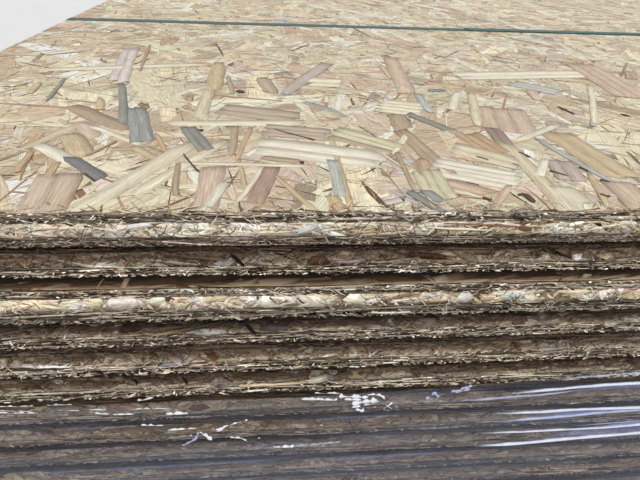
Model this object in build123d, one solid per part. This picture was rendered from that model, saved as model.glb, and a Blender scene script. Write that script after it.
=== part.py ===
from build123d import *
import os
from math import radians, tan

# A stack of oriented strand board panels, seen end-on in the photograph.
# +Y runs along the panels' length, away from the viewer, and +X along the short
# end that faces the viewer. The origin is under the middle of the stack, on the floor.

# One panel: the 8 by 4 foot sheet, 15 mm thick, sawn square with the arrises just broken.
panel_width = 1220.0
panel_length = 2440.0
panel_thickness = 15.0
panel_arris = 0.5
panel_count = 28

# How the panels lie, from the top one down. Nobody squares them up, so each is a
# little off: how far its front end stands out towards the viewer, how far it lies to
# the right, and how far it is turned in plan, in degrees. A taller stack repeats them.
stands_out = [0.0, -0.3, 10.4, 9.0, 10.2, 9.7, 15.6, 15.2, 15.0, 14.6, 13.8, 14.8, 13.2, 12.4,
              13.9, 12.0, 13.5, 11.6, 12.8, 14.2, 12.6, 11.4, 13.0, 12.2, 13.6, 11.8, 12.9, 12.3]
lies_right = [0.0, 1.6, -3.4, 2.8, 4.6, -1.2, 3.2, 0.8, -2.6, 1.4, 5.2, -0.6, 2.4, -3.8,
              0.4, 3.6, -1.8, 2.0, -4.2, 1.0, 3.0, -2.2, 0.6, 1.8, -0.8, 2.6, -1.4, 1.2]
turned = [0.0, -0.14, -0.06, -0.1, -0.04, -0.08, -0.6, -0.56, -0.6, -0.5, -0.52, -0.38, -0.4, -0.28,
          -0.36, -0.24, -0.3, -0.18, -0.26, -0.32, -0.2, -0.3, -0.16, -0.24, -0.28, -0.18, -0.22, -0.2]

# The stretch film goes round the lower panels and leaves the top ones bare. It bridges
# from one panel that stands out to the next.
bare_panels = 6
film_overlap = 3.0  # how far its upper edge stands above the last wrapped panel
film_floor_gap = 2.0
film_thickness = 0.25
film_gap = 0.3  # between the film and the panel edges that it is pulled over

# A flat plastic strap goes round the stack near each end, outside the film.
strap_width = 19.0
strap_thickness = 0.9
strap_clearance = 0.1  # between the strap and the film that it is pulled over
strap_inset = 548.0  # from the top panel's end to the strap, along the middle of the stack
strap_skews = {"strap_front": 3.6, "strap_back": -0.7}  # degrees off square, in plan
lap_start = -110.0  # where the strap's end lies, from the middle of the stack
lap_length = 300.0  # how much of the strap lies double

stack_height = panel_count * panel_thickness
stack_base = strap_thickness  # the bottom panel lies on the straps that pass under it
film_foot = stack_base + film_floor_gap
film_top = stack_base + (panel_count - bare_panels) * panel_thickness + film_overlap


def lie(values, number):
    """One panel's own value, where panel 0 is the top one."""
    return values[number % len(values)]


def panel_place(number):
    """Where a panel lies: the middle of its underside."""
    return Pos(
        lie(lies_right, number),
        -lie(stands_out, number),
        stack_base + (panel_count - 1 - number) * panel_thickness,
    ) * Rot(Z=lie(turned, number))


def panel(number):
    """One panel, sawn from the sheet, with its arrises broken."""
    sheet = extrude(Rectangle(panel_width, panel_length), panel_thickness)
    flat_faces = sheet.faces().filter_by(Axis.Z)
    return panel_place(number) * chamfer(flat_faces.edges(), panel_arris)


def plan_corners(number):
    """A panel's four corners in plan, in order round it."""
    place = panel_place(number)
    corners = []
    for side_x, side_y in ((-1, -1), (1, -1), (1, 1), (-1, 1)):
        corner = place * Pos(side_x * panel_width / 2, side_y * panel_length / 2)
        corners.append((corner.position.X, corner.position.Y))
    return corners


def hull(points):
    """The outline of a band pulled tight round some points, as its corners in order."""
    points = sorted(set(points))

    def half(ordered):
        chain = []
        for p in ordered:
            while len(chain) > 1 and turns_right(chain[-2], chain[-1], p):
                chain.pop()
            chain.append(p)
        return chain[:-1]

    return half(points) + half(points[::-1])


def turns_right(a, b, c):
    """Whether the way from a over b to c bends right, or hardly at all."""
    cross = (b[0] - a[0]) * (c[1] - a[1]) - (b[1] - a[1]) * (c[0] - a[0])
    return cross <= 1e-6


def film_outline():
    """The film's plan, pulled tight round the wrapped panels and the one that they carry."""
    wrapped = range(max(bare_panels - 1, 0), panel_count)
    return hull([corner for number in wrapped for corner in plan_corners(number)])


def film():
    """The film, one band all the way round."""
    plan = make_face(Polyline(film_outline(), close=True))
    inner = offset(plan, film_gap, kind=Kind.INTERSECTION)
    outer = offset(plan, film_gap + film_thickness, kind=Kind.INTERSECTION)
    return Pos(0, 0, film_foot) * extrude(outer - inner, film_top - film_foot)


def side_at(outline, side, along):
    """How far an outline reaches to the left or right, at a place along the stack's length."""
    reached = []
    for (x1, y1), (x2, y2) in zip(outline, outline[1:] + outline[:1]):
        if y1 != y2 and min(y1, y2) <= along <= max(y1, y2):
            reached.append(side * (x1 + (along - y1) / (y2 - y1) * (x2 - x1)))
    return max(reached)


def strap_line(name):
    """A strap's middle in plan: its place along the stack, and its slope across it."""
    toward = -1 if name == "strap_front" else 1
    middle = toward * (panel_length / 2 - strap_inset) - lie(stands_out, 0)
    return middle, tan(radians(strap_skews[name]))


def strap_inside(name):
    """The stack's section as a strap feels it: the hull of all that it is pulled over."""
    middle, slope = strap_line(name)
    film_reach = film_gap + film_thickness + strap_clearance
    points = []
    for side in (-1, 1):
        across = middle + side * slope * panel_width / 2
        alongs = (across - strap_width, across + strap_width)
        for number in range(panel_count):
            edge = max(side_at(plan_corners(number), side, y) for y in alongs)
            low = panel_place(number).position.Z
            for inward, up in ((panel_arris, 0), (0, panel_arris)):
                points.append((side * (edge - inward), low + up))
                points.append((side * (edge - inward), low + panel_thickness - up))
        film_side = max(side_at(film_outline(), side, y) for y in alongs) + film_reach
        points += [(side * film_side, film_foot), (side * film_side, film_top)]
    return make_face(Polyline(hull(points), close=True))


def strap(name):
    """One strap, pulled tight round the stack, its end welded down on its own start."""
    inside = strap_inside(name)
    outside = offset(inside, strap_thickness, kind=Kind.ARC)
    top = stack_base + stack_height + strap_thickness
    lap = Pos(lap_start + lap_length / 2, top + strap_thickness / 2) * Rectangle(
        lap_length, strap_thickness
    )
    band = outside + lap - inside
    middle, slope = strap_line(name)
    # The band is first drawn out far longer than wide, then trimmed to its width askew.
    reach = abs(slope) * panel_width + 2 * strap_width
    upright = Plane(origin=(0, middle + reach, 0), x_dir=(1, 0, 0), z_dir=(0, -1, 0))
    tube = extrude(upright * band, 2 * reach)
    width = Box(2 * panel_width, strap_width, 4 * stack_height)
    return tube & (Pos(0, middle, 0) * Rot(Z=strap_skews[name]) * width)


def build():
    """Every piece of the stack by its name."""
    pieces = {f"panel_{number + 1:02d}": panel(number) for number in range(panel_count)}
    pieces["stretch_film"] = film()
    for name in strap_skews:
        pieces[name] = strap(name)
    return pieces


def centred(pieces):
    """The pieces, moved so that the middle of their plan is at the origin."""
    boxes = [piece.bounding_box() for piece in pieces.values()]
    left, right = min(box.min.X for box in boxes), max(box.max.X for box in boxes)
    front, back = min(box.min.Y for box in boxes), max(box.max.Y for box in boxes)
    middle = Pos(-(left + right) / 2, -(front + back) / 2, 0)
    return {name: middle * piece for name, piece in pieces.items()}


os.makedirs("parts", exist_ok=True)
for name, piece in centred(build()).items():
    export_step(piece, f"parts/{name}.step")
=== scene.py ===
import math
import bpy
import numpy as np
from mathutils import Matrix


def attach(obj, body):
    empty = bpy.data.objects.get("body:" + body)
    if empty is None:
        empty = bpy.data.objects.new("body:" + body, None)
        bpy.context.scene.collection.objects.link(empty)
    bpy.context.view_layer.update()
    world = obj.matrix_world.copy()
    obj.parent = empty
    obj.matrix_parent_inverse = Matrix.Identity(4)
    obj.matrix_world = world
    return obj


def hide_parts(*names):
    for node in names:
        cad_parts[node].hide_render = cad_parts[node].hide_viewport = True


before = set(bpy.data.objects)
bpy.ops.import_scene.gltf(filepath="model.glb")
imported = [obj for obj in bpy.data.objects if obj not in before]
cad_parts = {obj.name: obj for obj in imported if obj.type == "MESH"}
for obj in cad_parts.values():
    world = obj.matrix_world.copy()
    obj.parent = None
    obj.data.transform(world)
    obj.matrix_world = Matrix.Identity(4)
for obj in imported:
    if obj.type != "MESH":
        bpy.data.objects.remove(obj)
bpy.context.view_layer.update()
mm = 0.001
quarter = 1.57  # a quarter turn in radians
wholeTurn = 4 * quarter


def linear(*rgb):
    # written 0-255 colour to the linear numbers that sockets and meshes hold
    return tuple(c / 3294.6 if c <= 10.3 else ((c / 255 + 0.055) / 1.055) ** 2.4 for c in rgb)


class Val:
    # one socket that takes part in ordinary arithmetic
    def __init__(self, finish, socket):
        self.finish = finish
        self.socket = socket

    def math(self, operation, *values):
        return self.finish.add("ShaderNodeMath", {"operation": operation}, dict(enumerate(values)))

    def __add__(self, other):
        return self.math("ADD", self, other)

    def __radd__(self, other):
        return self.math("ADD", other, self)

    def __sub__(self, other):
        return self.math("SUBTRACT", self, other)

    def __rsub__(self, other):
        return self.math("SUBTRACT", other, self)

    def __mul__(self, other):
        return self.math("MULTIPLY", self, other)

    def __rmul__(self, other):
        return self.math("MULTIPLY", other, self)

    def __truediv__(self, other):
        return self.math("DIVIDE", self, other)

    def __gt__(self, other):
        return self.math("GREATER_THAN", self, other)

    def __lt__(self, other):
        return self.math("LESS_THAN", self, other)

    def __abs__(self):
        return self.math("ABSOLUTE", self)

    def floor(self):
        return self.math("FLOOR", self)

    def sine(self):
        return self.math("SINE", self)

    def most(self, other):
        return self.math("MAXIMUM", self, other)


class Finish:
    # one procedural finish, or the light all round, and the nodes that it is built from
    def __init__(self, name, store=bpy.data.materials):
        self.made = store.new(name)
        self.made.use_nodes = True
        self.tree = self.made.node_tree
        self.tree.nodes.clear()

    def add(self, kind, settings=None, sockets=None, out=0):
        node = self.tree.nodes.new(kind)
        for key, value in (settings or {}).items():
            if key == "stops":
                ramp = node.color_ramp
                while len(ramp.elements) < len(value):
                    ramp.elements.new(1.0)
                for element, (place, colour) in zip(ramp.elements, value):
                    element.position = place
                    element.color = (*colour, 1.0)
            else:
                setattr(node, key, value)
        for key, value in (sockets or {}).items():
            if isinstance(value, Val):
                self.tree.links.new(value.socket, node.inputs[key])
            elif isinstance(value, tuple) and len(value) == 3 and node.inputs[key].type == "RGBA":
                node.inputs[key].default_value = (*value, 1.0)
            else:
                node.inputs[key].default_value = value
        return Val(self, node.outputs[out] if node.outputs else None)

    def vector(self, x, y, z):
        return self.add("ShaderNodeCombineXYZ", None, {0: x, 1: y, 2: z})

    def split(self, vector):
        node = self.add("ShaderNodeSeparateXYZ", None, {0: vector}).socket.node
        return [Val(self, socket) for socket in node.outputs]

    def places(self, axes=3):
        # where a point of the surface is, in mm
        point = self.split(self.add("ShaderNodeTexCoord", None, None, "Object"))
        return [axis * 1000.0 for axis in point[:axes]]

    def stored(self, name, out="Fac"):
        # what the mesh holds for a point under this name
        return self.add("ShaderNodeAttribute", {"attribute_name": name}, None, out)

    def noise(self, vector, detail=2.0, roughness=0.55, bend=0.0):
        sockets = {"Vector": vector, "Scale": 1.0, "Detail": detail, "Roughness": roughness, "Distortion": bend}
        return self.add("ShaderNodeTexNoise", None, sockets, "Fac")

    def cells(self, vector, out="Color", feature="F1"):
        return self.add("ShaderNodeTexVoronoi", {"feature": feature}, {"Vector": vector, "Scale": 1.0}, out)

    def between(self, value, low, high):
        # 0 at low, 1 at high, smooth in the middle
        sockets = {"Value": value, "From Min": low, "From Max": high}
        return self.add("ShaderNodeMapRange", {"interpolation_type": "SMOOTHSTEP"}, sockets)

    def mix(self, factor, first, second):
        return self.add("ShaderNodeMix", {"data_type": "RGBA"}, {0: factor, 6: first, 7: second}, 2)

    def tint(self, colour, by):
        return self.add("ShaderNodeVectorMath", {"operation": "MULTIPLY"}, {0: colour, 1: by})

    def tinted(self, factor, colour, by):
        # the colour, turned towards its own darker or paler tint where factor is 1
        return self.mix(factor, colour, self.tint(colour, by))

    def scaled(self, colour, by):
        return self.add("ShaderNodeVectorMath", {"operation": "SCALE"}, {0: colour, "Scale": by})

    def stops(self, value, stops):
        # a ramp of written colours, each with its place from 0 to 1
        ramp = [(place, linear(*colour)) for place, *colour in stops]
        return self.add("ShaderNodeValToRGB", {"stops": ramp}, {"Fac": value}, "Color")

    def bump(self, height, strength, distance):
        return self.add("ShaderNodeBump", None, {"Strength": strength, "Distance": distance, "Height": height})

    def skin(self, colour, roughness, normal, gloss=0.5):
        sockets = {"Base Color": colour, "Roughness": roughness, "Normal": normal, "Specular IOR Level": gloss}
        return self.add("ShaderNodeBsdfPrincipled", None, sockets)

    def surface(self, shader, end="ShaderNodeOutputMaterial"):
        self.add(end, None, {"Surface": shader})
        return self.made

    def seeThrough(self, cover, skin):
        # clear where cover is 0, the skin alone where it is 1
        clear = self.add("ShaderNodeBsdfTransparent")
        return self.surface(self.add("ShaderNodeMixShader", None, {0: cover, 1: clear, 2: skin}))


woodGloss = 0.16
# what both kinds of strand share: how close rings and patches lie, and how each mark tints the wood's own colour
strandLook = dict(
    ringAlong=0.012, patchAlong=0.045, patchAcross=0.11, seeds=61.0, ringTint=(0.80, 0.68, 0.54),
    fleckTint=(0.52, 0.44, 0.36), rimShadeTint=(0.62, 0.53, 0.44), paleHair=(1.22, 1.25, 1.30),
    darkHair=(0.66, 0.56, 0.46),
    hairs=((0.35, True), (-0.9, False), (1.45, True), (-0.25, False), (0.8, False)))  # angle, whether pale
faceLook = dict(
    strandLook, lineAlong=0.065, lineAcross=2.4, lineRange=(0.38, 0.60), ringAcross=0.28, fleckAlong=0.16,
    fleckAcross=1.3, darkTint=(0.77, 0.73, 0.66), lightTint=(1.10, 1.11, 1.12), rings=0.28, flecks=0.40,
    rimShade=0.32, rimShadeWide=0.40, bump=0.45, bumpDepth=0.0004, splinters=0.28)
chipLook = dict(
    strandLook, lineAlong=0.16, lineAcross=1.7, lineRange=(0.36, 0.62), ringAcross=0.45, fleckAlong=0.45,
    fleckAcross=1.4, darkTint=(0.72, 0.68, 0.62), lightTint=(1.12, 1.12, 1.12), rings=0.25, flecks=0.45,
    rimShade=0.45, rimShadeWide=0.14, bump=0.5, bumpDepth=0.0003, splinters=0.0)


def strandFinish(name, look):
    # a cut wood strand: fine grain along it, broad rings, flecks and a rim darkened as painted shade
    f = Finish(name)
    u, v = [axis * 1000.0 for axis in f.split(f.add("ShaderNodeUVMap", {"uv_map": "grain"}))[:2]]
    tone = f.stored("tone", "Color")
    seed = f.stored("tone", "Alpha") * look["seeds"]
    half = f.stored("half")
    line = f.noise(f.vector(u * look["lineAlong"] + seed, v * look["lineAcross"], seed), 4.0, 0.66)
    ring = f.noise(f.vector(u * look["ringAlong"] + seed, v * look["ringAcross"], seed + 7.0), 1.5, 0.5, 0.3)
    fleck = f.noise(f.vector(u * look["fleckAlong"], v * look["fleckAcross"] + seed, seed + 19.0), 2.0)
    patch = f.noise(f.vector(u * look["patchAlong"] + seed, v * look["patchAcross"], seed + 31.0), 2.0)
    lightLine = f.between(line, *look["lineRange"])
    colour = f.mix(lightLine, f.tint(tone, look["darkTint"]), f.tint(tone, look["lightTint"]))
    colour = f.tinted(f.between(ring, 0.5, 0.68) * look["rings"], colour, look["ringTint"])
    colour = f.tinted(f.between(fleck, 0.62, 0.74) * look["flecks"], colour, look["fleckTint"])
    # painted shade darkens each strand along its edges
    rimShade = (1.0 - f.between(half - abs(v), 0.0, look["rimShadeWide"])) * look["rimShade"]
    colour = f.scaled(f.tinted(rimShade, colour, look["rimShadeTint"]), 0.88 + patch * 0.24)
    height = lightLine * 0.55 + fleck * 0.25 + ring * 0.25
    if look["splinters"]:
        # hair-thin torn fibres over everything, in several directions
        x, y = f.places(2)
        drift = f.noise(f.vector(x * 0.03, y * 0.03, 2.0), 2.0) * 9.0
        for angle, pale in look["hairs"]:
            c, d = math.cos(angle), math.sin(angle)
            along, across = (x * d + y * c) * 0.06 + drift, (x * c - y * d) * 0.95
            hair = f.noise(f.vector(along, across, angle * 7.0), 3.0, 0.72)
            mask = f.between(hair, 0.61, 0.70) * look["splinters"]
            colour = f.tinted(mask, colour, look["paleHair" if pale else "darkHair"])
            height = height + mask * (0.8 if pale else -0.6)
    normal = f.bump(height, look["bump"], look["bumpDepth"])
    return f.surface(f.skin(colour, 0.60 + line * 0.22, normal, woodGloss))


# heights in mm, boards counted from 0 at the bottom; a ramp's stops are a place and a written colour
panelLook = dict(
    base=0.9, thick=15.0, coveredUnder=420.0, cleanBeside=26.0, coreHalf=(0.235, 0.275),
    layers=((0.30, 52, 44, 36), (0.46, 108, 96, 82), (0.60, 152, 140, 122), (0.72, 196, 184, 160)),
    core=((0.05, 132, 106, 82), (0.25, 178, 152, 120), (0.50, 200, 180, 148), (0.75, 216, 202, 176),
          (0.95, 204, 196, 188)),
    flats=((0.03, 128, 104, 80), (0.14, 176, 150, 118), (0.34, 204, 184, 150), (0.62, 218, 204, 174),
           (0.88, 230, 222, 200), (0.97, 150, 148, 142)),
    featherTint=(0.58, 0.49, 0.40), coreCrack=linear(74, 60, 46), pit=linear(34, 27, 21),
    jointShadeTint=(0.22, 0.18, 0.15), lineTint=(0.74, 0.66, 0.56), flatGap=linear(92, 74, 54),
    coveredFlatShade=(0.13, 0.09, 0.06))


def panelFinish(look):
    # the bare boards: pressed strands on the flats, laminations and a coarse core on the sawn edges
    f = Finish("osb_board")
    x, y, z = f.places()
    nx, _, nz = f.split(f.add("ShaderNodeNewGeometry", None, None, "Normal"))
    onFlat = abs(nz) > 0.5
    onEnd = abs(nx) > 0.5
    s = x * (1.0 - onEnd) + y * onEnd  # along the edge
    level = (z - look["base"]) / look["thick"]
    board = level.floor()
    rise = level - board
    lane = board * 3.7 + onEnd * 51.0  # sets one board's edge apart from the next one's
    # sawn edge: thin wavy layers above and below, torn slanting chips between them
    wave = f.noise(f.vector(s * 0.05, lane, 0.0), 2.0) * 0.07
    band = f.between(abs(rise - 0.5) + wave, *look["coreHalf"])
    warp = f.noise(f.vector(s * 0.09, z * 0.2, lane)) * 1.5
    layer = f.noise(f.vector(s * 0.06, z * 2.2 + warp, lane), 4.0, 0.68)
    pit = f.noise(f.vector(s * 0.22, z * 2.2, lane + 5.0), 3.0, 0.7)
    layerColour = f.stops(layer, look["layers"])
    warp = f.noise(f.vector(s * 0.10, z * 0.35, lane + 2.0), 3.0, 0.6)
    coreAt = f.vector(s * 0.085 + z * 0.16 + warp * 1.3, z * 0.26 + warp * 0.9, lane)
    coreCell = f.split(f.cells(coreAt))
    coreEdge = f.cells(coreAt, "Distance", "DISTANCE_TO_EDGE")
    feather = f.noise(f.vector(s * 0.9 + z * (coreCell[1] * 2.0 - 1.0), z * 0.25, lane + 9.0), 3.0, 0.7)
    coreColour = f.stops(coreCell[0], look["core"])
    coreColour = f.tinted(f.between(feather, 0.60, 0.42) * 0.65, coreColour, look["featherTint"])
    coreColour = f.mix(f.between(coreEdge, 0.05, 0.0) * 0.7, coreColour, look["coreCrack"])
    edgeColour = f.mix(band, coreColour, layerColour)
    edgeColour = f.mix(f.between(pit, 0.40, 0.32), edgeColour, look["pit"])
    # painted shade: every board but the top one and the third is darker under the joint, as in the shade of the
    # board above
    litBoard = abs(abs(board - look["cleanBeside"]) - 1.0) < 0.5
    under = f.between(rise, 0.40, 0.95) * (1.0 - litBoard)
    patchy = 0.74 + f.noise(f.vector(s * 0.02, lane, 3.0)) * 0.36
    edgeColour = f.scaled(f.tinted(under, edgeColour, look["jointShadeTint"]), patchy)
    edgeHeight = layer * 0.9 + f.between(pit, 0.33, 0.45) * 1.2 + feather * 0.6 * (1.0 - band)

    def strands(angle, long, wide, shift):
        # one set of crossing strands on the flats
        c, d = math.cos(angle), math.sin(angle)
        a = x * d + y * c
        b = x * c - y * d
        bend = f.noise(f.vector(a * 0.006, b * 0.02, shift)) * 0.8
        at = f.vector(a / long + shift, b / wide + bend, shift + board * 2.3)
        cell = f.split(f.cells(at))
        gap = f.between(f.cells(at, "Distance", "DISTANCE_TO_EDGE"), 0.0, 0.05)
        line = f.noise(f.vector(a * 0.04 + cell[1] * 40.0, b * 1.2, shift), 3.0, 0.6)
        colour = f.stops(cell[0], look["flats"])
        colour = f.tinted(f.between(line, 0.60, 0.38) * 0.5, colour, look["lineTint"])
        return f.mix((1.0 - gap) * 0.7, colour, look["flatGap"]), cell[2] + line * 0.3

    firstColour, firstHeight = strands(0.16, 88.0, 19.0, 3.0)
    secondColour, secondHeight = strands(-0.72, 72.0, 15.0, 11.0)
    over = f.split(f.cells(f.vector(x / 60.0, y / 95.0, 7.0 + board)))[0] > 0.55
    flatColour = f.mix(over, firstColour, secondColour)
    # a flat that another board covers is painted dark, as painted shade between the boards
    flatColour = f.tinted(z < look["coveredUnder"], flatColour, look["coveredFlatShade"])
    flatHeight = firstHeight * (1.0 - over) + secondHeight * over
    colour = f.mix(onFlat, edgeColour, flatColour)
    height = edgeHeight * (1.0 - onFlat) + flatHeight * onFlat
    return f.surface(f.skin(colour, 0.70 + pit * 0.2, f.bump(height, 0.7, 0.0006), woodGloss))


strapLook = dict(
    deep=linear(34, 68, 68), scuffed=linear(72, 104, 98), dust=linear(140, 146, 128), press=2.6, gloss=0.25)


def strapFinish(look):
    # extruded strapping: deep green-blue, a fine pressed diamond over it, scuffed paler along its length
    f = Finish("green_strapping")
    x, y, z = f.places()
    press = ((x + y + z) * look["press"]).sine() * ((x - y + z) * look["press"]).sine()
    scuff = f.noise(f.vector(x * 0.035, y * 0.8, z * 0.035), 3.0, 0.65)
    dust = f.noise(f.vector(x * 0.25, y * 0.25, z * 0.25), 2.0)
    colour = f.mix(f.between(scuff, 0.48, 0.72), look["deep"], look["scuffed"])
    colour = f.mix(f.between(dust, 0.58, 0.85) * 0.35, colour, look["dust"])
    normal = f.bump(press * 0.5 + scuff * 0.4, 0.35, 0.0002)
    return f.surface(f.skin(colour, 0.42 + scuff * 0.25, normal, look["gloss"]))


filmLook = dict(
    veil=0.062, least=0.015, haze=0.26, scratches=0.14, rimVeil=0.25, creaseAndGlintCover=0.75,
    veilColour=linear(160, 177, 206), creaseAndGlintColour=linear(226, 232, 246))


def filmFinish(look):
    # clear stretch film: a milky veil, whitened where it is creased, partly as painted highlights along creases and
    # arrises, shiny all over
    f = Finish("stretch_film_skin")
    x, y, z = f.places()
    haze = f.noise(f.vector((x + y) * 0.008, z * 0.06, 0.5), 3.0, 0.6)
    scratch = f.noise(f.vector((x + y) * 0.03, z * 1.1, 4.0), 3.0, 0.7)
    broken = f.noise(f.vector((x + y) * 0.10, z * 0.9, 9.0), 3.0, 0.7)
    # white: where creases and arrises are painted whiter, partly as painted highlights
    white = f.between(f.stored("crease") * (0.45 + broken * 1.1), 0.12, 0.92)
    colour = f.mix(white, look["veilColour"], look["creaseAndGlintColour"])
    edge = f.add("ShaderNodeLayerWeight", None, {"Blend": 0.25}, "Fresnel")
    cover = f.stored("layers") * look["veil"] + (haze - 0.5) * look["haze"]
    cover = cover + f.between(scratch, 0.58, 0.78) * look["scratches"] + edge * look["rimVeil"]
    cover = cover.most(look["least"]).most(white * look["creaseAndGlintCover"])
    return f.seeThrough(cover, f.skin(colour, 0.14 + haze * 0.14, f.bump(scratch * 0.5 + haze, 0.25, 0.0005)))


def foldGlintFinish():
    # film doubled over along a fold, with painted highlights and reflections on it: white along its ridge, thinning
    # away at the sides and ends
    f = Finish("film_glint_fold")
    x, y, z = f.places()
    ripple = f.noise(f.vector((x + y) * 0.22, z * 1.6, 3.0), 3.0, 0.7)
    cover = f.between(f.stored("half") * (0.72 + ripple * 0.56), 0.06, 0.80) * f.stored("tone", "Alpha")
    colour = f.scaled(f.stored("tone", "Color"), 0.90 + ripple * 0.2)
    return f.seeThrough(cover, f.skin(colour, 0.16 + ripple * 0.15, f.bump(ripple, 0.3, 0.0004)))


faceWood = strandFinish("face_strands", faceLook)
chipWood = strandFinish("edge_chips", chipLook)
boardWood = panelFinish(panelLook)
strapSkin = strapFinish(strapLook)
filmSkin = filmFinish(filmLook)
foldGlintSkin = foldGlintFinish()
finishes = dict(panel=boardWood, strap=strapSkin, stretch=filmSkin)  # by the first word of a node's name
for nodeName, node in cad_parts.items():
    if node.type == "MESH":
        for place in node.material_slots:
            place.material = finishes[nodeName.split("_")[0]]
print("finishes made")


class Heap:
    # gathers thin strips of wood and makes one mesh of them
    def __init__(self, name):
        self.name = name
        self.sets = []
        self.rng = np.random.default_rng(len(name) * 131 + sum(map(ord, name)))

    def lay(self, mid, along, out, length, width, lift, tone, stations=4, skirt=0.0, bow=0.0, crown=0.0,
            tiltAlong=0.0, tiltAcross=0.0, tips=(1.0, 1.0), skews=(0.0, 0.0), ragged=0.0, taper=0.75, wedge=0.0,
            within=(), shade=None):
        mid = np.atleast_2d(mid)
        n = len(mid)
        if not n:
            return
        column = lambda value: np.broadcast_to(np.asarray(value, float), (n,))[:, None]
        along = np.broadcast_to(along, (n, 3))
        out = np.broadcast_to(out, (n, 3))
        across = np.cross(out, along)
        # stations run along a strip; near and far grow from 0 to 1 over its tapering ends
        t = np.linspace(-0.5, 0.5, stations)[None, :]
        near = np.clip((-2 * t - 1 + column(taper)) / column(taper), 0, 1)
        far = np.clip((2 * t - 1 + column(taper)) / column(taper), 0, 1)
        narrowing = 1 - (1 - column(tips[0])) * near - (1 - column(tips[1])) * far
        half = column(width) / 2 * (1 + 2 * t * column(wedge)) * narrowing
        side = column(bow) * (1 - 4 * t * t)
        high = column(lift) + column(crown) * (1 - 4 * t * t) + column(tiltAlong) * t
        # with a skirt the strip has side walls and ends, without one it is a single thin face
        corners = ((-1, 1), (-1, 0), (1, 0), (1, 1)) if skirt else ((-1, 0), (1, 0))
        points = np.empty((n, stations, len(corners), 3))
        torn = {edge: self.rng.normal(0, 1, (n, stations)) * column(ragged) for edge in (-1, 1)}
        for corner, (edge, low) in enumerate(corners):
            u = column(length) * t + edge * half * (column(skews[0]) * near + column(skews[1]) * far)
            v = side + edge * np.maximum(half + torn[edge], 0.05 * mm)
            h = high + edge * column(tiltAcross) / 2 - low * column(skirt)
            place = mid[:, None] + u[..., None] * along[:, None] + v[..., None] * across[:, None]
            points[:, :, corner] = place + h[..., None] * out[:, None]
        for axis, least, most in within:
            # what reaches past a limit is cut off there
            axis = np.asarray(axis, float)
            reach = points @ axis
            least = np.reshape(least, (-1, 1, 1))
            points += (np.clip(reach, least, most) - reach)[..., None] * axis
        offset = points - mid[:, None, None]
        u = np.einsum("nsck,nk->nsc", offset, along)
        v = np.einsum("nsck,nk->nsc", offset, across)
        v = v + np.array([low * edge for edge, low in corners]) * float(np.max(skirt))
        tone = np.broadcast_to(np.broadcast_to(tone, (n, 4))[:, None, None], (*u.shape, 4)).copy()
        if shade:
            tone[..., :3] *= shade(points)
        size = np.stack([np.ptp(u, axis=(1, 2)), np.ptp(v, axis=(1, 2))], 1)
        half = np.repeat(half[:, :, None], len(corners), 2)
        self.sets.append(dict(points=points, u=u, v=v, half=half, tone=tone, size=size))

    def flatPlaces(self, gap=0.0004):
        # every strip has its own place on one flat sheet, in rows; also how large the sheet is
        sizes = np.concatenate([s["size"] for s in self.sets]) + gap
        order = np.argsort(-sizes[:, 1])
        rowWide = max(math.sqrt(float(np.sum(sizes[:, 0] * sizes[:, 1]))) * 1.05, float(sizes[:, 0].max()))
        reach = np.cumsum(sizes[order, 0])
        row = np.floor((reach - sizes[order, 0]) / rowWide).astype(int)
        start = np.zeros(row.max() + 1)
        tall = np.zeros(row.max() + 1)
        np.maximum.at(tall, row, sizes[order, 1])
        start[1:] = np.cumsum(tall)[:-1]
        places = np.empty_like(sizes)
        places[order, 0] = reach - sizes[order, 0] - row * rowWide
        places[order, 1] = start[row]
        whole = max(float((places[:, 0] + sizes[:, 0]).max()), float((places[:, 1] + sizes[:, 1]).max()))
        return places + gap / 2, whole

    def make(self, finish, slot="osb_panel"):
        places, whole = self.flatPlaces()
        points, uv, baked, halves, tones, faces = [], [], [], [], [], []
        base = 0
        first = 0
        for s in self.sets:
            n, stations, corners = s["u"].shape
            at = places[first:first + n]
            first += n
            u = s["u"] - s["u"].min(axis=(1, 2), keepdims=True) + at[:, None, None, 0]
            v = s["v"] - s["v"].min(axis=(1, 2), keepdims=True) + at[:, None, None, 1]
            points.append(s["points"].reshape(-1, 3))
            uv.append(np.stack([s["u"], s["v"]], -1).reshape(-1, 2))
            baked.append(np.stack([u, v], -1).reshape(-1, 2) / whole)
            halves.append(s["half"].reshape(-1) * 1000)
            tones.append(s["tone"].reshape(-1, 4))
            strip = base + np.arange(n)[:, None] * stations * corners
            walls = [[j * corners + c, (j + 1) * corners + c, (j + 1) * corners + c + 1, j * corners + c + 1]
                     for j in range(stations - 1) for c in range(corners - 1)]
            if corners == 4:
                last = (stations - 1) * 4
                walls += [[0, 1, 2, 3], [last + 3, last + 2, last + 1, last]]
            faces.append((strip[:, :, None] + np.array(walls)[None]).reshape(-1, 4))
            base += n * stations * corners
        maps = dict(grain=np.concatenate(uv), OFBake=np.concatenate(baked))
        values = dict(half=np.concatenate(halves))
        points, faces, tones = map(np.concatenate, (points, faces, tones))
        return meshPiece(self.name, points, faces, finish, maps, values, tones)


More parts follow.
